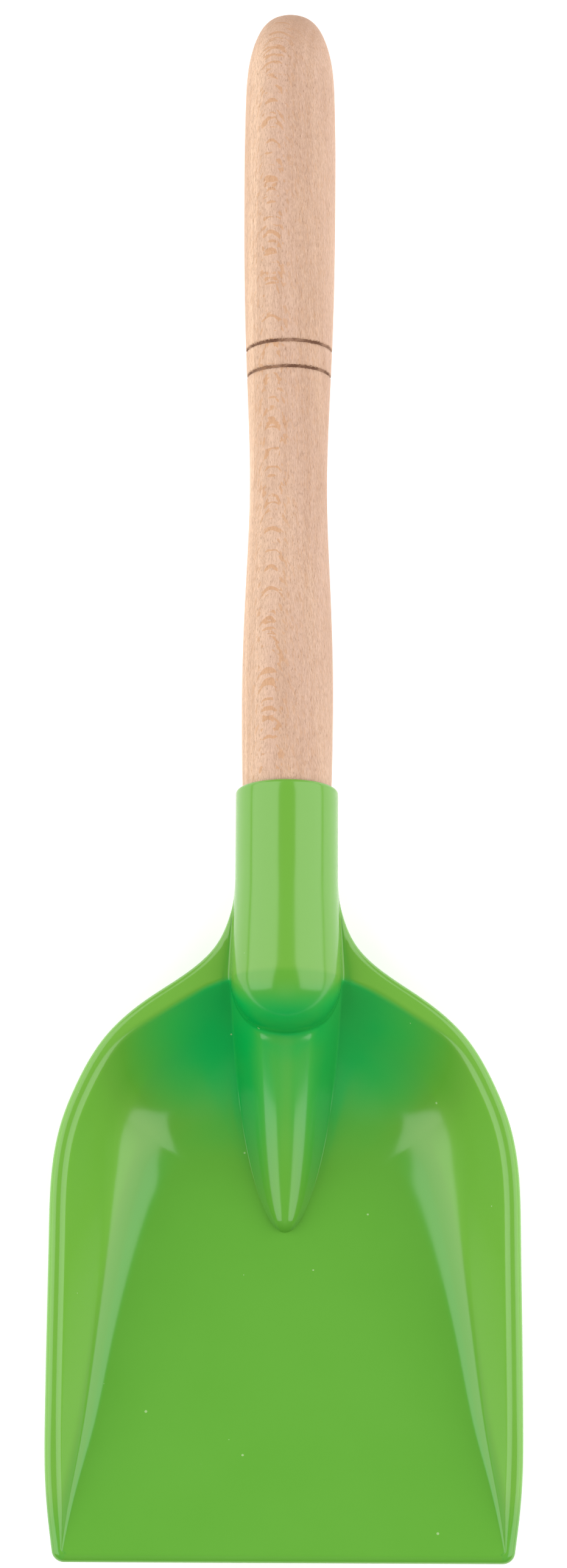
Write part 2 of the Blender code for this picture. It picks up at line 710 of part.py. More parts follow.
def handle_keys():
    """Points that the handle's outline passes through: its rounded end, then its body down to the mouth."""
    end = [(HANDLE_REACH - share * END_ROUND_LENGTH, part * GRIP_RADIUS) for share, part in END_KEYS]
    grip_shoulder = WAIST_RADIUS + GRIP_SHOULDER_SHARE * (GRIP_RADIUS - WAIST_RADIUS) + GRIP_SHOULDER_FILL
    waist_shoulder = (WAIST_RADIUS + SWELL_RADIUS) / 2 + WAIST_SHOULDER_FILL
    body = [
        end[-1],
        (GRIP_PLACE, GRIP_RADIUS),
        ((WAIST_PLACE + GRIP_PLACE) / 2, grip_shoulder),
        (WAIST_PLACE, WAIST_RADIUS),
        ((WAIST_PLACE + SWELL_PLACE) / 2, waist_shoulder),
        (SWELL_PLACE, SWELL_RADIUS),
        (MOUTH_Y, TENON_RADIUS),
    ]
    return end, body


def handle_mesh():
    end_keys, body_keys = handle_keys()
    steps = [math.dist(a, b) for a, b in zip(end_keys, end_keys[1:])]
    lengths = np.concatenate(([0.0], np.cumsum(steps)))
    end = cubic_through(lengths, end_keys)
    body = cubic_through([-y for y, _ in body_keys], [radius for _, radius in body_keys])
    profile = [(0.0, HANDLE_REACH)]
    for k in range(1, HANDLE_END_STEPS):
        y, radius = end(lengths[-1] * (k / HANDLE_END_STEPS) ** END_CROWDING)
        profile.append((radius, y))
    stops = list(np.linspace(body_keys[0][0], MOUTH_Y, HANDLE_STEPS))
    for place in GROOVE_PLACES:
        half = GROOVE_WIDTH / 2
        stops = [y for y in stops if abs(y - place) > GROOVE_ROOM] + [place - half, place, place + half]
    for y in sorted(stops, reverse=True):
        groove = GROOVE_DEPTH if y in GROOVE_PLACES else 0.0
        profile.append((float(body(-y)) - groove, y))
    foot_y = MOUTH_Y - TENON_LENGTH
    profile += [(TENON_RADIUS, foot_y + TENON_CHAMFER), (TENON_RADIUS - TENON_CHAMFER, foot_y), (0.0, foot_y)]
    return turned(profile, TURNED_STEPS)


def cylinder_down(radius, top_z, bottom_z, y, steps):
    """A closed cylinder along Z, between two heights, at x = 0."""
    bm = bmesh.new()
    bmesh.ops.create_cone(
        bm, cap_ends=True, segments=steps, radius1=radius, radius2=radius, depth=top_z - bottom_z
    )
    bmesh.ops.translate(bm, verts=bm.verts, vec=(0, y, (top_z + bottom_z) / 2))
    return bm


def build_scoop():
    plastic = plastic_material()
    beech = surface_material("beech", (0.680, 0.450, 0.315, 1), 0.62, 0.0)
    steel = surface_material("zinc_plated_steel", (0.62, 0.62, 0.60, 1), 0.32, 1.0)
    rest = bpy.data.objects.new("rest_pose", None)
    bpy.context.collection.objects.link(rest)

    blade = new_object("scoop_blade", blade_mesh(), plastic, rest)
    handle = new_object("handle", handle_mesh(), beech, rest)
    add_screw(blade, handle, steel, rest)
    lay_down(rest, blade, handle)


def add_screw(blade, handle, steel, rest):
    """Screw, its boss under the socket, and the holes that it passes through."""
    y = MOUTH_Y - SCREW_PLACE
    seat_z = -SOCKET_RADIUS - BOSS_DROP
    tip_z = seat_z - FIT_CLEARANCE + SCREW_LENGTH
    hole_radius = SCREW_SHANK_RADIUS + FIT_CLEARANCE
    boss_top = -BORE_RADIUS - SOCKET_WALL / 2
    boss = new_object("boss_shape", cylinder_down(BOSS_RADIUS, boss_top, seat_z, y, BOSS_SIDES), steel, rest)
    hole = cylinder_down(hole_radius, tip_z + FIT_CLEARANCE, seat_z - 1 * MM, y, SCREW_SIDES)
    drill = new_object("screw_hole_shape", hole, steel, rest)
    cut_or_join(blade, boss, "UNION")
    cut_or_join(blade, drill, "DIFFERENCE")
    cut_or_join(handle, drill, "DIFFERENCE")

    head_z = seat_z - FIT_CLEARANCE
    profile = [
        (0.0, tip_z),
        (SCREW_SHANK_RADIUS / 2, tip_z - SCREW_TIP),
        (SCREW_SHANK_RADIUS, tip_z - SCREW_POINT),
        (SCREW_SHANK_RADIUS, head_z),
    ]
    profile += [(SCREW_HEAD_RADIUS * out, head_z - SCREW_HEAD_HEIGHT * down) for out, down in SCREW_HEAD_KEYS]
    bm = turned(profile, SCREW_SIDES)
    bmesh.ops.rotate(bm, cent=(0, 0, 0), matrix=Matrix.Rotation(math.pi / 2, 3, "X"), verts=bm.verts)
    bmesh.ops.translate(bm, verts=bm.verts, vec=(0, y, 0))
    screw = new_object("socket_screw", bm, steel, rest)
    drive = bmesh.new()
    for size in ((DRIVE_LENGTH, DRIVE_WIDTH), (DRIVE_WIDTH, DRIVE_LENGTH)):
        bar = bmesh.ops.create_cube(drive, size=1.0)["verts"]
        bmesh.ops.scale(drive, verts=bar, vec=(*size, 2 * DRIVE_DEPTH))
    bmesh.ops.translate(drive, verts=drive.verts, vec=(0, y, head_z - SCREW_HEAD_HEIGHT))
    cut_or_join(screw, new_object("drive_shape", drive, steel, rest), "DIFFERENCE")
    screw.modifiers["drive_shape"].use_self = True


def lay_down(rest, *pieces):
    """Tilts the scoop until its heel and the end of its handle touch z = 0, and centres it."""
    sets = [np.array([vertex.co[:] for vertex in piece.data.vertices]) for piece in pieces]

    def lowest(points, tilt):
        return (points[:, 1] * math.sin(tilt) + points[:, 2] * math.cos(tilt)).min()

    low, high = math.radians(-30), math.radians(30)
    for _ in range(60):
        tilt = (low + high) / 2
        if lowest(sets[0], tilt) < lowest(sets[1], tilt):
            high = tilt
        else:
            low = tilt
    every = np.concatenate(sets)
    along = every[:, 1] * math.cos(tilt) - every[:, 2] * math.sin(tilt)
    rest.rotation_euler = (tilt, 0, 0)
    rest.location = (0, -(along.min() + along.max()) / 2, -lowest(every, tilt))


clear_scene()
build_scoop()
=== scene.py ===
import math

import bmesh
import bpy
import numpy as np
from mathutils import Matrix, Vector
from mathutils.bvhtree import BVHTree
from mathutils.kdtree import KDTree


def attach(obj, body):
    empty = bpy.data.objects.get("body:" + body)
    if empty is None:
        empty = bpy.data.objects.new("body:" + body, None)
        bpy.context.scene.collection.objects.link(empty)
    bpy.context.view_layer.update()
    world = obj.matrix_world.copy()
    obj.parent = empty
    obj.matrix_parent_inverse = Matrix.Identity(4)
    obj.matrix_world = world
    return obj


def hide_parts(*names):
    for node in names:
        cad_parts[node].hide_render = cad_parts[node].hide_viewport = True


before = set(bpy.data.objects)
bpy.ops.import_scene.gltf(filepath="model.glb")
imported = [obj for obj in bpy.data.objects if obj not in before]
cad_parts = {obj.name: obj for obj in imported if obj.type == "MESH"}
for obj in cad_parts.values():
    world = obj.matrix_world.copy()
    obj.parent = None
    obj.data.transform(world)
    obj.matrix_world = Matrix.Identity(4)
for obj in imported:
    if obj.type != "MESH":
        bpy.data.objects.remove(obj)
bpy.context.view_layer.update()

# Hand scoop: a moulded blade with a socket, a turned beech handle and the screw that holds it.
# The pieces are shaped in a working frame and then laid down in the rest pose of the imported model.
# Working frame: the handle's axis is Y and the socket's mouth is at y = 0. The handle runs towards +Y,
# the blade towards -Y, and Z points out of the bowl. The blade is symmetric about x = 0.

MM = 0.001

# Blade, as seen from above
BLADE_WIDTH = 132.0 * MM
BLADE_LENGTH = 163.8 * MM  # from the socket's root to the front edge
WEB_LENGTH = 23.4 * MM  # the web runs this far up the socket from its root
FRONT_CORNER_RADIUS = 3.5 * MM
FRONT_NARROWING = 5.7 * MM  # corner arc's centre, inside the widest half-width
FRONT_TAPER = math.radians(8)
CORNER_FOLD_INSET = 0.8 * MM  # fold and brow run this far inside the rim's edge in the front corner
CORNER_BROW_INSET = 0.4 * MM
CORNER_FOLD_RADIUS = 0.6 * MM

# Blade, in depth
BOWL_DEPTH = 28.6 * MM  # rim to floor, at the heel
FRONT_DEPTH = 3.5 * MM  # rim plane to floor, at the front edge
RIM_DROP = 3.75 * MM  # the rim comes down this far towards the front corners
RIM_DROP_START = 43.1 * MM  # from the front edge
RIM_DROP_END = 4.8 * MM
WALL = 2.5 * MM
RIM_THICKNESS = 3.0 * MM
RIM_ROUND = 2.2 * MM  # outer rounding of the rim, also of the front edge
RIM_KNEE = 0.75  # the outer rounding comes down this share of the rim's thickness
RIM_UNDER_ROUND = 0.6 * MM
BROW_RADIUS = 3.0 * MM  # rounding between the rim and the inside of the wall
UNDER_RIM_RADIUS = 1.5 * MM
LEAST_FOLD_RADIUS = 0.5 * MM
LEAST_RISE = 0.5 * MM  # a wall that rises less than this counts as flat
LEAST_GAP = 0.05 * MM  # between the corners of a section

# Socket
TENON_RADIUS = 12.5 * MM
TENON_LENGTH = 49.0 * MM
FIT_CLEARANCE = 0.3 * MM
SOCKET_WALL = 1.6 * MM
SOCKET_FLARE = 1.15 * MM  # the socket is this much larger in radius at its root
SOCKET_FLARE_START = 24.0 * MM
ROOT_PAST_TENON = 5.3 * MM  # the dome starts at the root, this far beyond the tenon's end
MOUTH_ROUND = 1.2 * MM
MOUTH_CHAMFER = 0.3 * MM
BORE_END_GAP = 1.0 * MM  # room beyond the tenon before the bore rounds off
BORE_END_LENGTH = 9.0 * MM

# Ridge that carries the socket's load down onto the floor
RIDGE_LENGTH = 67.8 * MM  # root to tip
RIDGE_NOSE_RISE = 3.0 * MM  # the crest rises this much in a steep nose at the tip
RIDGE_NOSE_LENGTH = 1.1 * MM
RIDGE_TIP_SLOPE = math.radians(6)
RIDGE_DOME_SLOPE = math.radians(32)  # where the crest meets the domed end of the socket
RIDGE_BEND_START = 6.0 * MM  # from the tip; from here on the crest bends up
RIDGE_CREST_SHARE_TIP = 0.95  # radius of the rounded crest, as a share of the foot's half-width
RIDGE_CREST_SHARE_ROOT = 0.6
RIDGE_BASE_POWER = 1.4
STEEPEST_FLANK = math.radians(88)
BOW_POWER = 1.5  # how quickly ribs and rows bend round near the socket
EVEN_ROWS_FROM = 0.25  # rows over the ridge straighten over this share of it, from the root
RIDGE_TIP_WALL = 4.5 * MM  # the hollow under the ridge starts this far behind its tip
HOLLOW_RISE = 2.2 * MM  # of the hollow, at its end under the socket
HOLLOW_CREST_RADIUS = 1.5 * MM  # at least

# Handle
HANDLE_REACH = 229.9 * MM  # mouth to the end of the handle
GRIP_RADIUS = 13.0 * MM
WAIST_RADIUS = 10.96 * MM
SWELL_RADIUS = 12.82 * MM
WAIST_PLACE = 85.8 * MM
SWELL_PLACE = 31.1 * MM
GRIP_PLACE = 175.2 * MM
GRIP_SHOULDER_SHARE = 0.4  # radius half-way between waist and grip, as a share of the step between them
GRIP_SHOULDER_FILL = 0.5 * MM  # and this much more
WAIST_SHOULDER_FILL = 0.1 * MM
END_ROUND_LENGTH = 41.8 * MM
# The rounded end, from its pole: (share of its length, share of the grip's radius)
END_KEYS = ((0.0, 0.0), (0.02, 0.37), (0.07, 0.575), (0.155, 0.735), (0.33, 0.9), (0.62, 0.978), (1.0, 1.0))
GROOVE_PLACES = (121.4 * MM, 129.0 * MM)
GROOVE_WIDTH = 1.2 * MM
GROOVE_DEPTH = 0.45 * MM
GROOVE_POWER = 1.5  # shape of the groove's section
TENON_CHAMFER = 1.0 * MM

# Screw, up through the underside of the socket
SCREW_PLACE = 22.0 * MM
SCREW_SHANK_RADIUS = 1.7 * MM
SCREW_HEAD_RADIUS = 3.4 * MM
SCREW_HEAD_HEIGHT = 2.2 * MM
SCREW_LENGTH = 12.0 * MM  # under the head
SCREW_POINT = 3.0 * MM  # the shank narrows over this length
SCREW_TIP = 0.4 * MM  # and its blunt tip, this long, is as wide as SCREW_TIP_SHARE of the shank
SCREW_TIP_SHARE = 0.25
SCREW_HEAD_CHAMFER = 0.1 * MM
SCREW_HEAD_SIDE = 0.7 * MM  # height of the head's upright side, from which its dome starts
SCREW_DOME_POWER = 0.6
BOSS_RADIUS = 4.6 * MM
BOSS_DROP = 1.0 * MM  # below the lowest line of the socket
BOSS_BEVEL = 0.3 * MM
HOLE_OVERSHOOT = 1.0 * MM  # the drill for the screw's hole starts this far below the boss
DRIVE_WIDTH = 0.9 * MM
DRIVE_DEPTH = 1.2 * MM
DRIVE_LENGTH = 3.8 * MM
DRIVE_NARROWING = 0.55  # of the recess, at its bottom

# How finely the surfaces are divided
FLOOR_STEPS = 16
FOLD_STEPS = 12
WALL_STEPS = 8
BROW_STEPS = 8
FLAT_STEPS = 2
SECTION_COUNTS = (FLOOR_STEPS, FOLD_STEPS, WALL_STEPS, BROW_STEPS, FLAT_STEPS)
SECTION_LIMITS = ((0.9, 0.6), (0.38, 0.9))  # see rounded_path
STATIONS_PER_RIB = 10
CORNER_STATIONS = 10
RIM_ARC_STEPS = 8
RIM_UNDER_STEPS = 3
ARCH_STEPS = 26
SLOPE_HALVINGS = 40  # when the slope of a ridge's flank is found by halving
TILT_HALVINGS = 60  # and when the tilt at rest is
TILT_LIMIT = math.radians(30)
DOME_STEPS = 16
LANDING_STEPS = 4
FLARE_STEPS = 4
SOCKET_STEPS = 8
MOUTH_STEPS = 6
BORE_END_STEPS = 8
TURNED_STEPS = 96
END_STEPS = 40
END_CROWDING = 1.6  # crowds the rounded end's rings towards its pole
BODY_STEP = 1.6 * MM
GROOVE_STEPS = 10
TENON_STEPS = 11
SCREW_STEPS = 48
SCREW_DOME_STEPS = 12
HOLE_STEPS = 32
BOSS_STEPS = 64
MERGE = 0.002 * MM
SHARP_ANGLE = math.radians(35)

HALF_WIDTH = BLADE_WIDTH / 2
SOCKET_ROOT = TENON_LENGTH + ROOT_PAST_TENON
MOUTH_Y = 0.0
ROOT_Y = -SOCKET_ROOT
FRONT_Y = ROOT_Y - BLADE_LENGTH
RIDGE_TIP_Y = ROOT_Y - RIDGE_LENGTH
BORE_RADIUS = TENON_RADIUS + FIT_CLEARANCE
SOCKET_RADIUS = BORE_RADIUS + SOCKET_WALL
ROOT_RADIUS = SOCKET_RADIUS + SOCKET_FLARE
HEEL_SHARE = 0.1743  # where floor and back wall meet, as a share of the blade's length
HEEL_Y = ROOT_Y - HEEL_SHARE * BLADE_LENGTH
SEAT_Z = -SOCKET_RADIUS - BOSS_DROP  # the boss's flat underside
SCREW_Y = MOUTH_Y - SCREW_PLACE

# The blade's lines: one row per rib, from the front corner round the shoulder to the socket's side.
# Each row has the rib's start on the centre line (share of length), then the fold between floor and
# wall, the brow between wall and rim, and the rim's edge, each as (share of width, share of length),
# and last the radius of the fold. Shares of width run from the socket's side to the widest point.
# Shares of length run forwards from the socket's root; below zero they are shares of the web.
RIBS = (
    (0.912, (0.866, 0.912), (0.911, 0.910), (0.984, 0.910), 1.8 * MM),
    (0.847, (0.826, 0.847), (0.919, 0.844), (0.998, 0.844), 3.0 * MM),
    (0.771, (0.778, 0.771), (0.921, 0.767), (1.000, 0.767), 5.0 * MM),
    (0.635, (0.704, 0.611), (0.916, 0.605), (0.996, 0.605), 8.0 * MM),
    (0.523, (0.630, 0.446), (0.910, 0.440), (0.990, 0.440), 13.0 * MM),
    (0.460, (0.573, 0.321), (0.891, 0.314), (0.971, 0.312), 19.0 * MM),
    (0.440, (0.536, 0.270), (0.847, 0.251), (0.926, 0.245), 23.0 * MM),
    (0.428, (0.461, 0.229), (0.778, 0.195), (0.852, 0.185), 29.0 * MM),
    (0.421, (0.347, 0.201), (0.630, 0.117), (0.694, 0.100), 36.0 * MM),
    (0.416, (0.208, 0.185), (0.412, 0.065), (0.470, 0.035), 42.0 * MM),
    (0.414, (0.069, 0.178), (0.180, 0.021), (0.254, -0.076), 45.0 * MM),
    (0.412, (-0.015, 0.175), (0.058, 0.006), (0.077, -0.448), 45.0 * MM),
)
FIRST_BOWED_RIB = 6  # from here on the ribs bend round the foot of the ridge


def limited(value, low=0.0, high=1.0):
    return min(max(value, low), high)


def smoothstep(value, low=0.0, high=1.0):
    """Goes from 0 to 1 while the number, or each of an array's, goes from low to high."""
    inside = np.clip((value - low) / (high - low), 0.0, 1.0)
    return inside * inside * (3 - 2 * inside)


def quarter_turn(steps, first=1):
    """Angles in even steps up to a right angle."""
    return [math.pi / 2 * k / steps for k in range(first, steps + 1)]


def cubic_through(places, rows):
    """Natural cubic spline: a function that gives the row at any place between the given ones."""
    places = np.asarray(places, float)
    rows = np.asarray(rows, float)
    count = len(places)
    gaps = np.diff(places)
    system = np.eye(count)
    bends = np.zeros_like(rows)
    for i in range(1, count - 1):
        system[i, i - 1] = gaps[i - 1]
        system[i, i] = 2 * (gaps[i - 1] + gaps[i])
        system[i, i + 1] = gaps[i]
        bends[i] = 6 * ((rows[i + 1] - rows[i]) / gaps[i] - (rows[i] - rows[i - 1]) / gaps[i - 1])
    curvature = np.linalg.solve(system, bends)

    def at(place):
        i = int(np.clip(np.searchsorted(places, place) - 1, 0, count - 2))
        left = (places[i + 1] - place) / gaps[i]
        right = 1 - left
        bend = (left**3 - left) * curvature[i] + (right**3 - right) * curvature[i + 1]
        return left * rows[i] + right * rows[i + 1] + bend * gaps[i] ** 2 / 6

    return at


def rounded_path(corners, radii, limits, counts, spacing=1.0):
    """Points along a polyline whose inner corners are rounded as circular arcs.

    limits has, for each rounded corner, the share of the stretch before it and after it that its
    rounding may take. counts has the number of steps of each stretch and rounding in turn.
    spacing above 1 crowds the first stretch's points towards its start.
    """
    points = [corners[0].copy()]
    leave = corners[0]
    for i, radius in enumerate(radii):
        before = corners[i]
        corner = corners[i + 1]
        after = corners[i + 2]
        back = (before - corner).normalized()
        onward = (after - corner).normalized()
        turn = math.pi - back.angle(onward)
        reach = min(
            max(radius * math.tan(turn / 2), LEAST_GAP),
            limits[i][0] * (corner - before).length,
            limits[i][1] * (after - corner).length,
        )
        enter = corner + back * reach
        stretch_power = spacing if i == 0 else 1.0
        steps = counts[2 * i]
        points += [leave.lerp(enter, (k / steps) ** stretch_power) for k in range(1, steps + 1)]
        leave = corner + onward * reach
        weight = math.cos(turn / 2)
        arc_steps = counts[2 * i + 1]
        for k in range(1, arc_steps + 1):
            along = k / arc_steps
            parts = ((1 - along) ** 2, 2 * weight * along * (1 - along), along**2)
            blend = enter * parts[0] + corner * parts[1] + leave * parts[2]
            points.append(blend / sum(parts))
    steps = counts[-1]
    points += [leave.lerp(corners[-1], k / steps) for k in range(1, steps + 1)]
    return points


def floor_height(y):
    slope = (BOWL_DEPTH - FRONT_DEPTH) / (HEEL_Y - FRONT_Y)
    return -FRONT_DEPTH - (y - FRONT_Y) * slope


def floor_normal():
    slope = floor_height(FRONT_Y) - floor_height(FRONT_Y + 1.0)
    return Vector((0, slope, 1)).normalized()


def under_floor_height(y):
    return floor_height(y) - WALL / floor_normal().z


def rim_height(y):
    fall = (FRONT_Y + RIM_DROP_START - y) / (RIM_DROP_START - RIM_DROP_END)
    return -RIM_DROP * smoothstep(fall)


def socket_radius(y):
    flared = (-SOCKET_FLARE_START - y) / (SOCKET_ROOT - SOCKET_FLARE_START)
    return SOCKET_RADIUS + SOCKET_FLARE * smoothstep(flared)


def base_half_width(y, tip_y, root_half_width):
    """Half the width of the ridge's foot at y: round at its tip, parallel at the socket's root."""
    share = limited((y - tip_y) / (ROOT_Y - tip_y))
    return root_half_width * math.sqrt(1 - (1 - share) ** RIDGE_BASE_POWER)


def blade_x(share):
    return ROOT_RADIUS + share * (HALF_WIDTH - ROOT_RADIUS)


def blade_y(share):
    if share < 0:
        return ROOT_Y - share * WEB_LENGTH
    return ROOT_Y - share * BLADE_LENGTH


def corner_station(share):
    """Plan of a rib in the front corner: share 0 is the front edge, 1 is where the side starts."""
    angle = share * (math.pi / 2 - FRONT_TAPER)
    outward = Vector((math.sin(angle), -math.cos(angle)))
    centre = Vector((HALF_WIDTH - FRONT_NARROWING, FRONT_Y + FRONT_CORNER_RADIUS))
    rim = centre + outward * FRONT_CORNER_RADIUS
    edge = centre + outward * (FRONT_CORNER_RADIUS - RIM_ROUND)
    side_edge_y = centre.y - math.sin(FRONT_TAPER) * (FRONT_CORNER_RADIUS - RIM_ROUND)
    mid_y = FRONT_Y + RIM_ROUND + share * (side_edge_y - FRONT_Y - RIM_ROUND)
    fold = Vector((edge.x - CORNER_FOLD_INSET, mid_y))
    brow = Vector((edge.x - CORNER_BROW_INSET, (mid_y + edge.y) / 2))
    return mid_y, fold, brow, rim, outward, CORNER_FOLD_RADIUS


def side_ribs():
    """The plan rows of all ribs from the front corner to the socket, in metres."""
    mid_y, fold, brow, rim, _, radius = corner_station(1.0)
    rows = [(mid_y, *fold, *brow, *rim, radius)]
    for mid, fold, brow, rim, radius in RIBS:
        points = [coordinate for x, y in (fold, brow, rim) for coordinate in (blade_x(x), blade_y(y))]
        rows.append((blade_y(mid), *points, radius))
    web_y = ROOT_Y + WEB_LENGTH
    foot = base_half_width(HEEL_Y, RIDGE_TIP_Y, ROOT_RADIUS)
    last = (RIDGE_TIP_Y, foot, HEEL_Y, ROOT_RADIUS, ROOT_Y, socket_radius(web_y), web_y, RIBS[-1][-1])
    return rows + [last]


def stations():
    """Plan of every rib that is lofted: mid_y, fold, brow, rim, outward, fold radius, bow, rim share."""
    plans = []
    for k in range(CORNER_STATIONS):
        plans.append((*corner_station(k / CORNER_STATIONS), 0.0, 1.0))
    rows = side_ribs()
    rims = [Vector(row[5:7]) for row in rows]
    places = np.concatenate(([0.0], np.cumsum([(b - a).length for a, b in zip(rims, rims[1:])])))
    lines = cubic_through(places, rows)
    knots = len(rows) - 1
    for k in range(knots * STATIONS_PER_RIB + 1):
        rib, part = divmod(k, STATIONS_PER_RIB)
        rib, part = (knots - 1, STATIONS_PER_RIB) if rib == knots else (rib, part)
        place = places[rib] + (places[rib + 1] - places[rib]) * part / STATIONS_PER_RIB
        row = lines(place)
        ahead = lines(min(place + LEAST_GAP, places[-1]))
        behind = lines(max(place - LEAST_GAP, 0))
        along_x, along_y = ahead[5:7] - behind[5:7]
        outward = Vector((along_y, -along_x)).normalized()
        progress = k / STATIONS_PER_RIB
        bowed = limited((progress - FIRST_BOWED_RIB) / (knots - FIRST_BOWED_RIB))
        bow = 1 - (1 - bowed) ** BOW_POWER
        rim_share = smoothstep(knots - progress)
        fold, brow, rim = Vector(row[1:3]), Vector(row[3:5]), Vector(row[5:7])
        plans.append((row[0], fold, brow, rim, outward, max(row[7], LEAST_FOLD_RADIUS), bow, rim_share))
    return plans


def upper_corners(plan, is_front):
    mid_y, fold, brow, rim, outward, _, _, rim_share = plan
    edge = rim - outward * RIM_ROUND * rim_share
    height = floor_height(edge.y)
    if not is_front:
        height = max(rim_height(edge.y), height + LEAST_GAP)
    return [
        Vector((0, mid_y, floor_height(mid_y))),
        Vector((*fold, floor_height(fold.y))),
        Vector((*brow, height)),
        Vector((*edge, height)),
    ]


def under_corners(plan, corners, wall_normal, is_front):
    """The same section on the outside of the wall, its corners moved out by the wall's thickness."""
    mid_y, _, _, rim, outward, _, bow, rim_share = plan
    up = floor_normal()
    fold = corners[1] - (up + wall_normal) * WALL / (1 + up.dot(wall_normal))
    edge = rim - outward * RIM_UNDER_ROUND * rim_share
    if is_front:
        fold.y = edge.y
    fold.z = under_floor_height(fold.y)
    height = under_floor_height(edge.y)
    if not is_front:
        height = max(corners[3].z - RIM_THICKNESS, height, fold.z + LEAST_GAP)
    rise = corners[2].z - corners[1].z
    along = (height - fold.z) / rise if rise > LEAST_RISE else 1.0
    brow = fold + (corners[2] - corners[1]) * along
    brow.z = height
    start_y = edge.y if is_front else mid_y + bow * RIDGE_TIP_WALL
    return [
        Vector((0, start_y, under_floor_height(start_y))),
        fold,
        brow,
        Vector((*edge, height)),
    ]


def blade_sections():
    """Rows of points from the centre line to the rim: the bowl's inside, and its outside."""
    plans = stations()
    corners = [upper_corners(plan, i == 0) for i, plan in enumerate(plans)]
    upper = []
    under = []
    for i, plan in enumerate(plans):
        radius, bow = plan[5], plan[6]
        ahead = corners[min(i + 1, len(plans) - 1)]
        behind = corners[max(i - 1, 0)]
        run = (ahead[1] + ahead[2]) - (behind[1] + behind[2])
        wall_normal = run.cross(corners[i][2] - corners[i][1]).normalized()
        if wall_normal.z < 0:
            wall_normal.negate()
        if i <= CORNER_STATIONS:
            wall_normal = floor_normal()
        outside = under_corners(plan, corners[i], wall_normal, i == 0)
        spacing = 1 + bow
        upper.append(rounded_path(corners[i], (radius, BROW_RADIUS), SECTION_LIMITS, SECTION_COUNTS, spacing))
        radii = (radius + WALL, UNDER_RIM_RADIUS)
        under.append(rounded_path(outside, radii, SECTION_LIMITS, SECTION_COUNTS, spacing))
    return plans, upper, under


def bend_round_foot(plans, sections, foot):
    """Moves each rib sideways so that the last one follows the ridge's foot and its neighbours fan off."""
    last = sections[-1]
    shifts = [foot(point) - point.x for point in last]
    for plan, section in zip(plans, sections):
        bow = plan[6]
        for point, shift in zip(section, shifts):
            point.x += bow * shift
    for point in last:
        point.x = foot(point)
    for section in sections:
        section[0].x = 0.0


def upper_foot(point):
    if point.y > ROOT_Y:
        return socket_radius(point.y)
    return base_half_width(point.y, RIDGE_TIP_Y, ROOT_RADIUS)


def hollow_end_index():
    return FLOOR_STEPS + FOLD_STEPS + WALL_STEPS // 2


def under_foot_for(sections):
    """Outside, the last rib follows the socket's round underside, then the edge of the ridge's hollow."""
    end = sections[-1][hollow_end_index()]
    end_half_width = math.sqrt(ROOT_RADIUS**2 - end.z**2)
    tip_y = RIDGE_TIP_Y + RIDGE_TIP_WALL
    root_half_width = end_half_width * ROOT_RADIUS / base_half_width(end.y, tip_y, ROOT_RADIUS)

    def foot(point):
        if point.y >= end.y - MERGE:
            return math.sqrt(socket_radius(point.y) ** 2 - point.z**2)
        return base_half_width(point.y, tip_y, root_half_width)

    return foot


def arch_height(x, half_width, rise, crest_radius):
    """Height at x of a rounded-A section: a round crest, then straight sides down to zero at half_width."""
    if rise <= 0 or half_width <= 0:
        return rise
    widest = (half_width**2 + rise**2) / (2 * rise)
    radius = min(crest_radius, widest)
    low, high = 0.0, STEEPEST_FLANK
    for _ in range(SLOPE_HALVINGS):
        angle = (low + high) / 2
        side = (half_width - radius * math.sin(angle)) * math.tan(angle)
        if radius * (1 - math.cos(angle)) + side > rise:
            high = angle
        else:
            low = angle
    x = min(abs(x), half_width)
    if x < radius * math.sin(angle):
        return rise - (radius - math.sqrt(radius**2 - x**2))
    return (half_width - x) * math.tan(angle)


def ridge_crest(y):
    """How far the ridge's crest is above its tip: a short nose, a gentle rise, then a bend up to the dome."""
    along = y - RIDGE_TIP_Y
    nose = RIDGE_NOSE_RISE * (1 - math.exp(-along / RIDGE_NOSE_LENGTH))
    low_slope, high_slope = math.tan(RIDGE_TIP_SLOPE), math.tan(RIDGE_DOME_SLOPE)
    bend_length = RIDGE_LENGTH - ROOT_RADIUS - RIDGE_BEND_START
    bent = limited(along - RIDGE_BEND_START, 0.0, bend_length)
    past_dome = max(along - RIDGE_BEND_START - bend_length, 0.0)
    steepening = (high_slope - low_slope) * (bent**2 / (2 * bend_length) + past_dome)
    return nose + low_slope * along + steepening


def ridge_surface(foot_row, foot_width, crest_height, radius_change=0.0):
    """A function giving the ridge's height at (x, y), from the row of points along its foot."""
    _, ys, zs = zip(*foot_row)

    def height(x, y):
        foot_z = float(np.interp(y, ys, zs))
        half_width = foot_width(y)
        rise = crest_height(y) - foot_z
        share = (y - RIDGE_TIP_Y) / RIDGE_LENGTH
        crest_share = RIDGE_CREST_SHARE_TIP + share * (RIDGE_CREST_SHARE_ROOT - RIDGE_CREST_SHARE_TIP)
        radius = max(half_width * crest_share + radius_change, HOLLOW_CREST_RADIUS)
        return min(foot_z + arch_height(x, half_width, rise, radius), 0.0)

    return height


def socket_arch(start, y, radius, from_angle, to_angle):
    """Points round the socket from a start point, which they keep, to the centre plane."""
    points = [start.copy()]
    for k in range(1, ARCH_STEPS + 1):
        angle = from_angle + (to_angle - from_angle) * k / ARCH_STEPS
        points.append(Vector((radius * math.cos(angle), y, radius * math.sin(angle))))
    points[-1].x = 0.0
    return points


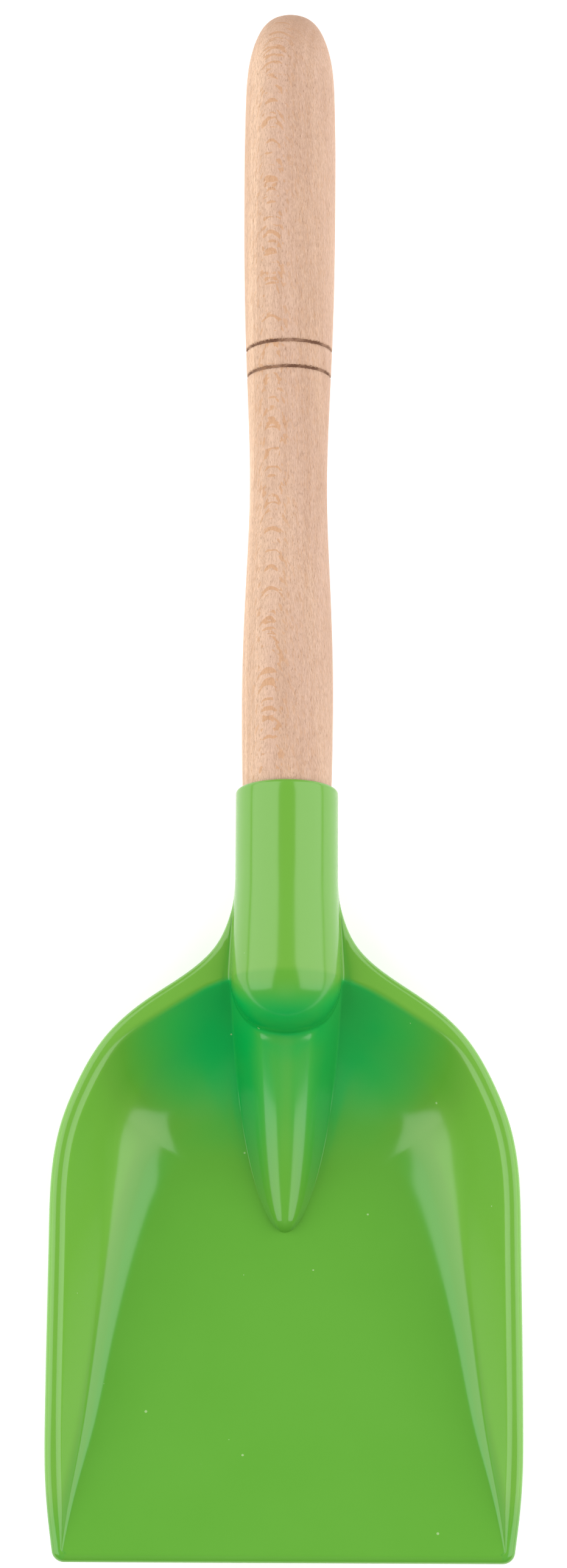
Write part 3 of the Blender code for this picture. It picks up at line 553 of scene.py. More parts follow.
def ridge_rows(foot_row, height, bow_start, round_start):
    """Rows across the ridge from its foot to its crest, bowed at the root and straight at the tip."""
    rows = []
    root, tip = foot_row[-1], foot_row[0]
    for point in reversed(foot_row[:-1]):
        share = (root.y - point.y) / (root.y - tip.y)
        bow = bow_start * (1 - share) ** BOW_POWER
        even = min(1.0, share / EVEN_ROWS_FROM) if round_start else 1.0
        row = [point.copy()]
        for k in range(1, ARCH_STEPS + 1):
            angle = math.pi / 2 * k / ARCH_STEPS
            inward = (1 - even) * (1 - math.cos(angle)) + even * k / ARCH_STEPS
            back = (1 - even) * math.sin(angle) + even * inward * (2 - inward)
            x = point.x * (1 - inward)
            y = max(point.y - bow * back, tip.y)
            row.append(Vector((x, y, height(x, y))))
        row[-1].x = 0.0
        rows.append(row)
    return rows


def upper_centre_rows(foot):
    """Rows over the socket, its domed end and the ridge, from the web's end down to the ridge's tip."""
    pole_index = FLOOR_STEPS + FOLD_STEPS + WALL_STEPS + BROW_STEPS // 2
    pole = foot[pole_index]
    rows = []
    for point in reversed(foot[pole_index:]):
        rows.append(socket_arch(point, point.y, socket_radius(point.y), 0.0, math.pi / 2))
    for tilt in quarter_turn(DOME_STEPS):
        row = [pole.copy()]
        for flat in rows[len(foot) - 1 - pole_index][1:]:
            row.append(Vector((flat.x, pole.y - flat.z * math.sin(tilt), flat.z * math.cos(tilt))))
        rows.append(row)
    height = ridge_surface(
        foot[: pole_index + 1],
        lambda y: base_half_width(y, RIDGE_TIP_Y, ROOT_RADIUS),
        lambda y: foot[0].z + ridge_crest(y),
    )
    equator = rows[-1]
    for k in range(1, LANDING_STEPS + 1):
        row = [pole.copy()]
        for point in equator[1:]:
            row.append(Vector((point.x, point.y, height(point.x, point.y) * k / LANDING_STEPS)))
        rows.append(row)
    rows += ridge_rows(foot[: pole_index + 1], height, ROOT_RADIUS, True)
    return rows


def under_centre_rows(foot, foot_width):
    """Rows under the socket, then down its end and along the inside of the hollow ridge."""
    end_index = hollow_end_index()
    rows = []
    for point in reversed(foot[end_index:]):
        radius = socket_radius(point.y)
        rows.append(socket_arch(point, point.y, radius, math.asin(point.z / radius), -math.pi / 2))
    tip, end = foot[0], foot[end_index]
    crest_slope = (end.z + HOLLOW_RISE - tip.z) / (end.y - tip.y)
    height = ridge_surface(
        foot[: end_index + 1],
        lambda y: foot_width(Vector((0, y, end.z))),
        lambda y: tip.z + (y - tip.y) * crest_slope,
        -WALL,
    )
    socket_end = rows[-1]
    for step in range(1, LANDING_STEPS + 1):
        row = [end.copy()]
        for k in range(1, ARCH_STEPS + 1):
            x = end.x * (1 - k / ARCH_STEPS)
            landed = Vector((x, end.y, height(x, end.y)))
            row.append(socket_end[k].lerp(landed, step / LANDING_STEPS))
        rows.append(row)
    rows += ridge_rows(foot[: end_index + 1], height, 0.0, False)
    return rows


def rim_strip(plans, upper, under):
    """Rows round the outer edge from the top face to the underside, at the front edge and up the side."""
    rows = []

    def row_between(top, bottom, outward, overhang, under_round):
        height = top.z - bottom.z
        knee = RIM_KNEE * height
        low_round = min(under_round, height - knee)
        row = [top.copy()]
        for angle in quarter_turn(RIM_ARC_STEPS):
            out = outward * overhang * math.sin(angle)
            row.append(top + Vector((out.x, out.y, -knee * (1 - math.cos(angle)))))
        for angle in quarter_turn(RIM_UNDER_STEPS, 0)[:-1]:
            out = outward * (overhang - under_round * (1 - math.cos(angle)))
            row.append(top + Vector((out.x, out.y, -height + low_round * (1 - math.sin(angle)))))
        row.append(bottom.copy())
        return row

    front = Vector((0, -1))
    for top, bottom in zip(upper[0][:-1], under[0][:-1]):
        rows.append(row_between(top, bottom, front, RIM_ROUND, RIM_UNDER_ROUND))
    for plan, top, bottom in zip(plans, upper, under):
        share = plan[7]
        rows.append(row_between(top[-1], bottom[-1], plan[4], RIM_ROUND * share, RIM_UNDER_ROUND * share))
    for point in rows[-1]:
        point.y = rows[-1][0].y
        point.x = math.sqrt(socket_radius(point.y) ** 2 - point.z**2)
    return rows


def socket_rows(ring):
    """Rows from the web's end up to the mouth, round its lip, down the bore and over the bore's end."""
    flare_end = -SOCKET_FLARE_START
    lip = MOUTH_Y - MOUTH_ROUND
    bore_end = MOUTH_Y - TENON_LENGTH - BORE_END_GAP
    outline = [(socket_radius(y), y) for y in np.linspace(ring[0].y, flare_end, FLARE_STEPS + 1)[1:]]
    outline += [(SOCKET_RADIUS, y) for y in np.linspace(flare_end, lip, SOCKET_STEPS + 1)[1:]]
    for angle in quarter_turn(MOUTH_STEPS):
        radius = SOCKET_RADIUS - MOUTH_ROUND * (1 - math.cos(angle))
        outline.append((radius, lip + MOUTH_ROUND * math.sin(angle)))
    outline += [(BORE_RADIUS + MOUTH_CHAMFER, MOUTH_Y), (BORE_RADIUS, MOUTH_Y - MOUTH_CHAMFER)]
    for angle in quarter_turn(BORE_END_STEPS, 0):
        outline.append((BORE_RADIUS * math.cos(angle), bore_end - BORE_END_LENGTH * math.sin(angle)))
    turns = [math.atan2(point.z, point.x) for point in ring]
    rows = [[point.copy() for point in ring]]
    for radius, y in outline:
        row = [Vector((radius * math.cos(turn), y, radius * math.sin(turn))) for turn in turns]
        row[0].x = row[-1].x = 0.0
        rows.append(row)
    return rows


def loft(bm, rows):
    """A grid whose rows of vertices are moved onto the given rows of points."""
    across = len(rows[0]) - 1
    grid = bmesh.ops.create_grid(bm, x_segments=across, y_segments=len(rows) - 1, size=1.0)
    for k, vertex in enumerate(grid["verts"]):
        row, column = divmod(k, across + 1)
        vertex.co = rows[row][column]


def blade_mesh():
    plans, upper, under = blade_sections()
    bend_round_foot(plans, upper, upper_foot)
    under_foot = under_foot_for(under)
    bend_round_foot(plans, under, under_foot)
    strip = rim_strip(plans, upper, under)
    over_rows = upper_centre_rows(upper[-1])
    under_rows = under_centre_rows(under[-1], under_foot)
    ring = list(reversed(over_rows[0])) + strip[-1][1:-1] + under_rows[0]
    bm = bmesh.new()
    for rows in (upper, under, strip, over_rows, under_rows, socket_rows(ring)):
        loft(bm, rows)
    bmesh.ops.remove_doubles(bm, verts=bm.verts, dist=MERGE)
    bmesh.ops.dissolve_degenerate(bm, edges=bm.edges, dist=MERGE)
    bmesh.ops.mirror(bm, geom=bm.verts[:] + bm.edges[:] + bm.faces[:], axis="X", merge_dist=MERGE)
    bmesh.ops.remove_doubles(bm, verts=bm.verts, dist=MERGE)
    bmesh.ops.recalc_face_normals(bm, faces=bm.faces)
    soften_creases(bm)
    return bm


CREASE_ANGLE = math.radians(22)
CREASE_ROUNDS = 3
CREASE_MARGIN = 2.0 * MM  # the mouth's edges are left alone up to this far from it
DOME_FILLET_REACH = 2.2 * MM
DOME_FILLET_ROUNDS = 14
DOME_FILLET_LOW = -6.0 * MM  # what lies lower isn't part of the dome
DOME_FILLET_END_Y = ROOT_Y - ROOT_RADIUS - 1.0 * MM


def valley_verts(bm):
    """The vertices along sharp valleys of the moulding, away from the socket's mouth."""
    return {
        vertex
        for edge in bm.edges
        if len(edge.link_faces) == 2 and edge.calc_face_angle_signed() < -CREASE_ANGLE
        for vertex in edge.verts
        if vertex.co.y < MOUTH_Y - CREASE_MARGIN
    }


def smooth(bm, verts):
    bmesh.ops.smooth_vert(
        bm, verts=list(verts), factor=0.5, use_axis_x=True, use_axis_y=True, use_axis_z=True
    )


def soften_creases(bm):
    """A wide fillet under the socket's domed end, and small ones in the moulding's other valleys."""
    points = [vertex.co.copy() for vertex in valley_verts(bm)]
    valley = [point for point in points if point.y > DOME_FILLET_END_Y and point.z > DOME_FILLET_LOW]
    tree = KDTree(len(valley))
    for i, point in enumerate(valley):
        tree.insert(point, i)
    tree.balance()
    web_end_y = ROOT_Y + WEB_LENGTH + CREASE_MARGIN
    near = [vertex for vertex in bm.verts if vertex.co.z > DOME_FILLET_LOW and vertex.co.y < web_end_y]
    near = [vertex for vertex in near if valley and tree.find(vertex.co)[2] < DOME_FILLET_REACH]
    for _ in range(DOME_FILLET_ROUNDS):
        smooth(bm, near)
    for _ in range(CREASE_ROUNDS):
        smooth(bm, valley_verts(bm))


def turned(profile, steps):
    """A closed solid turned about the Y axis from (radius, y) points that start and end on the axis."""
    bm = bmesh.new()
    verts = [bm.verts.new((radius, y, 0)) for radius, y in profile]
    edges = [bm.edges.new(pair) for pair in zip(verts, verts[1:])]
    bmesh.ops.spin(
        bm,
        geom=verts + edges,
        cent=(0, 0, 0),
        axis=(0, 1, 0),
        angle=2 * math.pi,
        steps=steps,
        use_merge=True,
    )
    bmesh.ops.remove_doubles(bm, verts=bm.verts, dist=MERGE)
    bmesh.ops.recalc_face_normals(bm, faces=bm.faces)
    return bm


def handle_keys():
    """Points that the handle's outline passes through: its rounded end, then its body down to the mouth."""
    end = [(HANDLE_REACH - share * END_ROUND_LENGTH, part * GRIP_RADIUS) for share, part in END_KEYS]
    grip_shoulder = WAIST_RADIUS + GRIP_SHOULDER_SHARE * (GRIP_RADIUS - WAIST_RADIUS) + GRIP_SHOULDER_FILL
    waist_shoulder = (WAIST_RADIUS + SWELL_RADIUS) / 2 + WAIST_SHOULDER_FILL
    body = [
        end[-1],
        (GRIP_PLACE, GRIP_RADIUS),
        ((WAIST_PLACE + GRIP_PLACE) / 2, grip_shoulder),
        (WAIST_PLACE, WAIST_RADIUS),
        ((WAIST_PLACE + SWELL_PLACE) / 2, waist_shoulder),
        (SWELL_PLACE, SWELL_RADIUS),
        (MOUTH_Y, TENON_RADIUS),
    ]
    return end, body


def groove_depth(y):
    """Depth at y of the two narrow grooves that are burnt into the grip."""
    half = GROOVE_WIDTH / 2
    for place in GROOVE_PLACES:
        if abs(y - place) < half:
            return GROOVE_DEPTH * math.cos(math.pi / 2 * (y - place) / half) ** GROOVE_POWER
    return 0.0


def handle_profile():
    """Handle outline from the domed end to the foot of the tenon."""
    end_keys, body_keys = handle_keys()
    steps = [math.dist(a, b) for a, b in zip(end_keys, end_keys[1:])]
    lengths = np.concatenate(([0.0], np.cumsum(steps)))
    end = cubic_through(lengths, end_keys)
    body = cubic_through([-y for y, _ in body_keys], [radius for _, radius in body_keys])
    profile = [(0.0, HANDLE_REACH)]
    for k in range(1, END_STEPS):
        y, radius = end(lengths[-1] * (k / END_STEPS) ** END_CROWDING)
        profile.append((radius, y))
    half = GROOVE_WIDTH / 2
    stops = list(np.linspace(body_keys[0][0], MOUTH_Y, round(body_keys[0][0] / BODY_STEP)))
    for place in GROOVE_PLACES:
        stops = [y for y in stops if abs(y - place) > GROOVE_WIDTH]
        stops += [place + half * (2 * k / GROOVE_STEPS - 1) for k in range(GROOVE_STEPS + 1)]
    for y in sorted(stops, reverse=True):
        profile.append((float(body(-y)) - groove_depth(y), y))
    foot_y = MOUTH_Y - TENON_LENGTH
    for place in np.linspace(MOUTH_Y, foot_y + TENON_CHAMFER, TENON_STEPS + 1)[1:]:
        profile.append((TENON_RADIUS, place))
    profile += [(TENON_RADIUS - TENON_CHAMFER, foot_y), (0.0, foot_y)]
    return profile


def cylinder_at_screw(radius, top_z, bottom_z, steps):
    """A closed upright cylinder on the screw's axis, between two heights."""
    bm = bmesh.new()
    depth = top_z - bottom_z
    bmesh.ops.create_cone(bm, cap_ends=True, segments=steps, radius1=radius, radius2=radius, depth=depth)
    bmesh.ops.translate(bm, verts=bm.verts, vec=(0, SCREW_Y, (top_z + bottom_z) / 2))
    return bm


def linked(name, data):
    made = bpy.data.objects.new(name, data)
    bpy.context.collection.objects.link(made)
    return made


def object_from(name, bm):
    mesh = bpy.data.meshes.new(name)
    bm.to_mesh(mesh)
    bm.free()
    mesh.shade_smooth()
    mesh.set_sharp_from_angle(angle=SHARP_ANGLE)
    return linked(name, mesh)


def carved(bm, tools):
    """The bmesh after exact Booleans with (bmesh, operation) tools."""
    target = object_from("being_carved", bm)
    helpers = []
    for tool_bm, operation in tools:
        helper = object_from("carving_tool", tool_bm)
        helpers.append(helper)
        modifier = target.modifiers.new("carve", "BOOLEAN")
        modifier.operation = operation
        modifier.object = helper
        modifier.solver = "EXACT"
    bpy.context.view_layer.update()
    shaped = target.evaluated_get(bpy.context.evaluated_depsgraph_get())
    result = bmesh.new()
    result.from_mesh(shaped.to_mesh())
    shaped.to_mesh_clear()
    for made in [target, *helpers]:
        mesh = made.data
        bpy.data.objects.remove(made, do_unlink=True)
        bpy.data.meshes.remove(mesh)
    return result


def screw_mesh():
    """Pan-headed screw with a cross recess, pointing up through the boss, and the recess's two bars."""
    head_z = SEAT_Z - FIT_CLEARANCE
    tip_z = head_z + SCREW_LENGTH
    side_z = head_z - SCREW_HEAD_SIDE
    dome_z = head_z - SCREW_HEAD_HEIGHT
    profile = [
        (0.0, tip_z),
        (SCREW_TIP_SHARE * SCREW_SHANK_RADIUS, tip_z - SCREW_TIP),
        (SCREW_SHANK_RADIUS, tip_z - SCREW_POINT),
        (SCREW_SHANK_RADIUS, head_z),
        (SCREW_HEAD_RADIUS - SCREW_HEAD_CHAMFER, head_z),
        (SCREW_HEAD_RADIUS, head_z - SCREW_HEAD_CHAMFER),
        (SCREW_HEAD_RADIUS, side_z),
    ]
    for angle in quarter_turn(SCREW_DOME_STEPS):
        radius = SCREW_HEAD_RADIUS * math.cos(angle) ** SCREW_DOME_POWER
        profile.append((radius, side_z + (dome_z - side_z) * math.sin(angle)))
    bm = turned(profile, SCREW_STEPS)
    bmesh.ops.rotate(bm, cent=(0, 0, 0), matrix=Matrix.Rotation(math.pi / 2, 3, "X"), verts=bm.verts)
    bmesh.ops.translate(bm, verts=bm.verts, vec=(0, SCREW_Y, 0))
    bars = []
    for size in ((DRIVE_LENGTH, DRIVE_WIDTH), (DRIVE_WIDTH, DRIVE_LENGTH)):
        bar = bmesh.new()
        bmesh.ops.create_cube(bar, size=1.0)
        bmesh.ops.scale(bar, verts=bar.verts, vec=(*size, 2 * DRIVE_DEPTH))
        inner_end = [vertex for vertex in bar.verts if vertex.co.z > 0]
        bmesh.ops.scale(bar, verts=inner_end, vec=(DRIVE_NARROWING, DRIVE_NARROWING, 1))
        bmesh.ops.translate(bar, verts=bar.verts, vec=(0, SCREW_Y, dome_z))
        bars.append(bar)
    return bm, bars


def make_pieces():
    def drill():
        radius = SCREW_SHANK_RADIUS + FIT_CLEARANCE
        return cylinder_at_screw(radius, SEAT_Z + SCREW_LENGTH, SEAT_Z - HOLE_OVERSHOOT, HOLE_STEPS)

    boss = cylinder_at_screw(BOSS_RADIUS, -BORE_RADIUS - SOCKET_WALL / 2, SEAT_Z, BOSS_STEPS)
    ring = [edge for edge in boss.edges if all(vertex.co.z < SEAT_Z + MERGE for vertex in edge.verts)]
    bmesh.ops.bevel(
        boss, geom=ring, offset=BOSS_BEVEL, segments=3, profile=0.5, affect="EDGES", material=-1
    )
    blade = carved(blade_mesh(), [(boss, "UNION"), (drill(), "DIFFERENCE")])
    handle = carved(turned(handle_profile(), TURNED_STEPS), [(drill(), "DIFFERENCE")])
    screw, bars = screw_mesh()
    return blade, handle, carved(screw, [(bar, "DIFFERENCE") for bar in bars])


def rest_matrix(blade, handle):
    """Tilts the scoop until its heel and the end of its handle touch z = 0, and centres it."""
    sets = [np.array([vertex.co[:] for vertex in bm.verts]) for bm in (blade, handle)]

    def lowest(points, tilt):
        return (points[:, 1] * math.sin(tilt) + points[:, 2] * math.cos(tilt)).min()

    low, high = -TILT_LIMIT, TILT_LIMIT
    for _ in range(TILT_HALVINGS):
        tilt = (low + high) / 2
        if lowest(sets[0], tilt) < lowest(sets[1], tilt):
            high = tilt
        else:
            low = tilt
    every = np.concatenate(sets)
    along = every[:, 1] * math.cos(tilt) - every[:, 2] * math.sin(tilt)
    place = (0, -(along.min() + along.max()) / 2, -lowest(every, tilt))
    return Matrix.Translation(place) @ Matrix.Rotation(tilt, 4, "X")


blade_bm, handle_bm, screw_bm = make_pieces()
REST = rest_matrix(blade_bm, handle_bm)
for bm in (blade_bm, handle_bm, screw_bm):
    bm.transform(REST)

blade = object_from("blade_moulding", blade_bm)
handle = object_from("handle_turned", handle_bm)
screw = object_from("screw_pan_head", screw_bm)
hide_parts("scoop_blade")
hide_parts("handle")
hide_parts("socket_screw")
for piece in (blade, handle, screw):
    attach(piece, "root")


# Finishes


def placed(tree, kind, inputs=None, **settings):
    """A new node. An input that is given a socket is linked to it, and any other input is set."""
    made = tree.nodes.new("ShaderNode" + kind)
    for name, value in settings.items():
        setattr(made, name, value)
    for key, value in (inputs or {}).items():
        if isinstance(value, bpy.types.NodeSocket):
            tree.links.new(value, made.inputs[key])
        else:
            made.inputs[key].default_value = value
    return made


def calculated(tree, operation, *values):
    return placed(tree, "Math", dict(enumerate(values)), operation=operation).outputs[0]


def ramped(tree, value, low, high, start=0.0, end=1.0):
    """Goes smoothly from start to end while the value goes from low to high."""
    inputs = {"Value": value, "From Min": low, "From Max": high, "To Min": start, "To Max": end}
    return placed(tree, "MapRange", inputs, interpolation_type="SMOOTHSTEP").outputs[0]


def blended(tree, factor, first, second):
    return placed(tree, "Mix", {0: factor, 6: first, 7: second}, data_type="RGBA").outputs[2]


def noise(tree, vector, scale, detail, roughness, distortion=0.0):
    inputs = {"Vector": vector, "Scale": scale, "Detail": detail}
    inputs |= {"Roughness": roughness, "Distortion": distortion}
    return placed(tree, "TexNoise", inputs).outputs[0]


def new_group(name, inputs, outputs):
    """A node group whose first input is a vector. The other sockets are plain values."""
    tree = bpy.data.node_groups.new(name, "ShaderNodeTree")
    tree.interface.new_socket("Vector", in_out="INPUT", socket_type="NodeSocketVector")
    for socket in inputs:
        tree.interface.new_socket(socket, in_out="INPUT", socket_type="NodeSocketFloat")
    for socket in outputs:
        tree.interface.new_socket(socket, in_out="OUTPUT", socket_type="NodeSocketFloat")
    return tree, tree.nodes.new("NodeGroupInput").outputs, tree.nodes.new("NodeGroupOutput").inputs


def breakup_group():
    """Soft cloudy unevenness and a fine grain on top of it, for colour, gloss and bump."""
    tree, inputs, out = new_group("surface_breakup", ("Patches", "Grain"), ("Cloud", "Fine"))
    cloud = noise(tree, inputs["Vector"], inputs["Patches"], 3.0, 0.55)
    fine = noise(tree, inputs["Vector"], inputs["Grain"], 2.0, 0.6)
    tree.links.new(cloud, out["Cloud"])
    tree.links.new(fine, out["Fine"])
    return tree


SPECK_SIZES = (0.03, 0.11)  # as shares of a cell


def specks_group():
    """Small scattered spots: one in a share of the cells, each with its own size."""
    tree, inputs, out = new_group("scattered_specks", ("Per Metre", "Share"), ("Mask",))
    cells = placed(tree, "TexVoronoi", {"Vector": inputs["Vector"], "Scale": inputs["Per Metre"]})
    parts = placed(tree, "SeparateColor", {0: cells.outputs["Color"]})
    size = ramped(tree, parts.outputs[1], 0.0, 1.0, *SPECK_SIZES)
    near = calculated(tree, "LESS_THAN", cells.outputs["Distance"], size)
    chosen = calculated(tree, "LESS_THAN", parts.outputs[0], inputs["Share"])
    tree.links.new(calculated(tree, "MULTIPLY", near, chosen), out["Mask"])
    return tree


BREAKUP = breakup_group()
SPECKS = specks_group()


def unevenness(tree, place, patches, grain):
    """Cloudy and fine unevenness, with this many patches and grains to the metre."""
    inputs = {"Vector": place, "Patches": patches, "Grain": grain}
    return placed(tree, "Group", inputs, node_tree=BREAKUP).outputs


def specks(tree, place, per_metre, share):
    inputs = {"Vector": place, "Per Metre": per_metre, "Share": share}
    return placed(tree, "Group", inputs, node_tree=SPECKS).outputs[0]


def started(name):
    material = bpy.data.materials.new(name)
    material.use_nodes = True
    tree = material.node_tree
    return material, tree, tree.nodes["Principled BSDF"], placed(tree, "TexCoord").outputs["Object"]


def finished(tree, shader, colour, roughness, height, distance):
    """Wires the varying colour, roughness and bump height into the material's shader."""
    tree.links.new(colour, shader.inputs["Base Color"])
    tree.links.new(roughness, shader.inputs["Roughness"])
    bump = placed(tree, "Bump", {"Height": height, "Distance": distance, "Strength": 1.0})
    tree.links.new(bump.outputs[0], shader.inputs["Normal"])


# In the finishes below, a row of four numbers is a smooth change: from and to of the value that
# drives it, and the result at each.

# Copies of the dyed green for painted light and shade: the walls over the floor painted lighter, the outside
# painted a little lighter, the floor in the plastic's own green, and painted shade in the sheltered heel
GREEN_LIGHT_AND_SHADE = (
    (0.0, (0.185, 0.470, 0.053, 1)),
    (0.12, (0.160, 0.412, 0.047, 1)),
    (0.3, (0.117, 0.382, 0.036, 1)),
    (1.0, (0.0, 0.430, 0.080, 1)),
)
OUTSIDE_TONE = GREEN_LIGHT_AND_SHADE[1][0]
FLOOR_TONE = GREEN_LIGHT_AND_SHADE[2][0]
CLOUDY_GREEN = (0.150, 0.430, 0.050, 1)
GREEN_CLOUDS = (0.3, 0.7, 0.0, 0.16)
GREEN_ROUGHNESS = (0.25, 0.75, 0.14, 0.20)
GREEN_SPECULAR = 0.62
DUST = (0.50, 0.66, 0.34, 1)
DUST_PER_METRE = 260.0
DUST_SHARE = 0.07
DUST_COVER = 0.5
DUST_ROUGHNESS = 0.3
GREEN_WAVES = 3.0  # against the fine grain's relief
GREEN_RELIEF = 0.004 * MM


def moulding_material():
    """Glossy through-dyed polypropylene, with painted shade that makes it deeper and cooler in the heel,
    painted light on the walls and outside, and a little dust on the gloss.
    """
    material, tree, shader, place = started("green_moulding")
    cloud, fine = unevenness(tree, place, 22.0, 900.0)
    # painted light and shade: each vertex picks a lit or shaded copy of the green
    painted_light_shade = placed(tree, "Attribute", attribute_name="painted_light_shade").outputs["Fac"]
    lit_and_shaded_greens = placed(tree, "ValToRGB", {"Fac": painted_light_shade})
    while len(lit_and_shaded_greens.color_ramp.elements) < len(GREEN_LIGHT_AND_SHADE):
        lit_and_shaded_greens.color_ramp.elements.new(0.5)
    for element, (position, green) in zip(lit_and_shaded_greens.color_ramp.elements, GREEN_LIGHT_AND_SHADE):
        element.position = position
        element.color = green
    colour = blended(tree, ramped(tree, cloud, *GREEN_CLOUDS), lit_and_shaded_greens.outputs["Color"], CLOUDY_GREEN)
    dust = specks(tree, place, DUST_PER_METRE, DUST_SHARE)
    colour = blended(tree, calculated(tree, "MULTIPLY", dust, DUST_COVER), colour, DUST)
    roughness = ramped(tree, cloud, *GREEN_ROUGHNESS)
    roughness = calculated(tree, "MULTIPLY_ADD", dust, DUST_ROUGHNESS, roughness)
    height = calculated(tree, "MULTIPLY_ADD", cloud, GREEN_WAVES, fine)
    finished(tree, shader, colour, roughness, height, GREEN_RELIEF)
    shader.inputs["Specular IOR Level"].default_value = GREEN_SPECULAR
    return material


RAY_TURN = math.radians(25)  # the wood's rays lie this far from level across the handle
FIBRE_LEAN = math.radians(6)  # the fibres run this far out of line with the handle
BEECH_PALE = (0.860, 0.600, 0.415, 1)
BEECH_PINK = (0.660, 0.435, 0.325, 1)
BEECH_DARK = (0.500, 0.295, 0.190, 1)
RAY_TAN = (0.600, 0.300, 0.130, 1)
PORE_BROWN = (0.300, 0.140, 0.070, 1)
BURNT = (0.150, 0.066, 0.036, 1)
SCORCHED = (0.420, 0.240, 0.140, 1)
# The wood's noises: size along the rays, along the fibres and through the rays, then the noise's
# detail, roughness and distortion
WOOD_NOISES = {
    "rings": ((2.6 * MM, 220.0 * MM, 30.0 * MM), 3.0, 0.6, 0.0),
    "patches": ((9.0 * MM, 70.0 * MM, 9.0 * MM), 2.0, 0.5, 0.0),
    "fibres": ((0.42 * MM, 14.0 * MM, 0.42 * MM), 3.0, 0.65, 0.4),
    "rays": ((13.0 * MM, 2.6 * MM, 0.30 * MM), 2.0, 0.45, 0.3),
    "vessels": ((0.26 * MM, 1.5 * MM, 0.26 * MM), 2.0, 0.6, 0.0),
    "pores": ((0.20 * MM, 1.7 * MM, 0.20 * MM), 1.0, 0.5, 0.0),
}
WOOD_LAYERS = (
    ("rings", (0.42, 0.62, 0.0, 0.42), BEECH_DARK),
    ("patches", (0.4, 0.7, 0.0, 0.28), BEECH_PALE),
    ("fibres", (0.42, 0.72, 0.0, 0.42), BEECH_DARK),
    ("vessels", (0.46, 0.70, 0.0, 0.50), BEECH_DARK),
    ("vessels", (0.30, 0.50, 0.30, 0.0), BEECH_PALE),
)
PINK_SIDE = (-8 * MM, 3 * MM)  # from pale to pink, by the place along the rays
RAY_EDGE = (0.555, 0.61)
RAY_COVER = (1.5 * MM, 6.5 * MM, 0.60, 0.22)  # by the distance from the handle's middle
PORE_COVER = (0.62, 0.74, 0.0, 0.42)
END_GRAIN = (HANDLE_REACH - 16 * MM, HANDLE_REACH - 1 * MM, 0.0, 0.4)
BURNT_COVER = (0.32 * MM, 0.56 * MM, 1.0, 0.0)  # by the distance from a groove's middle
SCORCHED_COVER = (0.4 * MM, 1.0 * MM, 0.45, 0.0)
BURNT_PATCHES = (0.35, 0.62, 0.45, 0.95)
RAGGEDNESS = 1.0 * MM  # of the burnt lines' edges
RAGGED_NOISE = (2200.0, 2.0, 0.6)  # waves to the metre, detail and roughness
BURNT_NOISE = (300.0, 3.0, 0.6)
WOOD_ROUGHNESS = (0.2, 0.8, 0.52, 0.66)
BURNT_ROUGHNESS = 0.2
WOOD_SPECULAR = 0.35
PORE_DEPTH = 1.6  # against the fibres' relief
VESSEL_DEPTH = 1.5
WOOD_RELIEF = 0.07 * MM


def beech_material(rest):
    """Turned beech as a solid: rings and rays cut by the turning, pores, and two burnt lines."""
    material, tree, shader, place = started("beech_wood")
    inputs = {"Vector": place, "Location": rest.translation, "Rotation": rest.to_euler("XYZ")}
    turned_place = placed(tree, "Mapping", inputs, vector_type="TEXTURE").outputs[0]
    lie = Matrix.Rotation(-RAY_TURN, 3, "Y") @ Matrix.Rotation(FIBRE_LEAN, 3, "X")
    inputs = {"Vector": turned_place, "Rotation": lie.to_euler("XYZ")}
    wood = placed(tree, "Mapping", inputs, vector_type="TEXTURE").outputs[0]
    cloud, fine = unevenness(tree, wood, 60.0, 2600.0)
    across = placed(tree, "SeparateXYZ", {0: wood}).outputs[0]
    along = placed(tree, "SeparateXYZ", {0: turned_place}).outputs[1]
    noises = {}
    for name, (size, *character) in WOOD_NOISES.items():
        scale = tuple(1 / length for length in size)
        stretched = placed(tree, "VectorMath", {0: wood, 1: scale}, operation="MULTIPLY").outputs[0]
        noises[name] = noise(tree, stretched, 1.0, *character)

    colour = blended(tree, ramped(tree, across, *PINK_SIDE), BEECH_PALE, BEECH_PINK)
    for name, cover, tint in WOOD_LAYERS:
        colour = blended(tree, ramped(tree, noises[name], *cover), colour, tint)
    facing = ramped(tree, calculated(tree, "ABSOLUTE", across), *RAY_COVER)
    rays = calculated(tree, "MULTIPLY", ramped(tree, noises["rays"], *RAY_EDGE), facing)
    pores = ramped(tree, noises["pores"], *PORE_COVER)
    end_grain = ramped(tree, along, *END_GRAIN)
    ragged = calculated(tree, "SUBTRACT", noise(tree, wood, *RAGGED_NOISE), 0.5)
    burnt = scorched = 0.0
    for groove in GROOVE_PLACES:
        away = calculated(tree, "ABSOLUTE", calculated(tree, "SUBTRACT", along, groove))
        away = calculated(tree, "MULTIPLY_ADD", ragged, RAGGEDNESS, away)
        burnt = calculated(tree, "MAXIMUM", ramped(tree, away, *BURNT_COVER), burnt)
        scorched = calculated(tree, "MAXIMUM", ramped(tree, away, *SCORCHED_COVER), scorched)
    patchy = ramped(tree, noise(tree, wood, *BURNT_NOISE), *BURNT_PATCHES)
    patchy = calculated(tree, "MULTIPLY", burnt, patchy)
    for cover, tint in (
        (rays, RAY_TAN),
        (pores, PORE_BROWN),
        (end_grain, BEECH_DARK),
        (scorched, SCORCHED),
        (patchy, BURNT),
    ):
        colour = blended(tree, cover, colour, tint)

    roughness = ramped(tree, cloud, *WOOD_ROUGHNESS)
    roughness = calculated(tree, "MULTIPLY_ADD", burnt, BURNT_ROUGHNESS, roughness)
    height = calculated(tree, "ADD", noises["fibres"], fine)
    height = calculated(tree, "MULTIPLY_ADD", pores, -PORE_DEPTH, height)
    height = calculated(tree, "MULTIPLY_ADD", noises["vessels"], -VESSEL_DEPTH, height)
    finished(tree, shader, colour, roughness, height, WOOD_RELIEF)
    shader.inputs["Specular IOR Level"].default_value = WOOD_SPECULAR
    return material


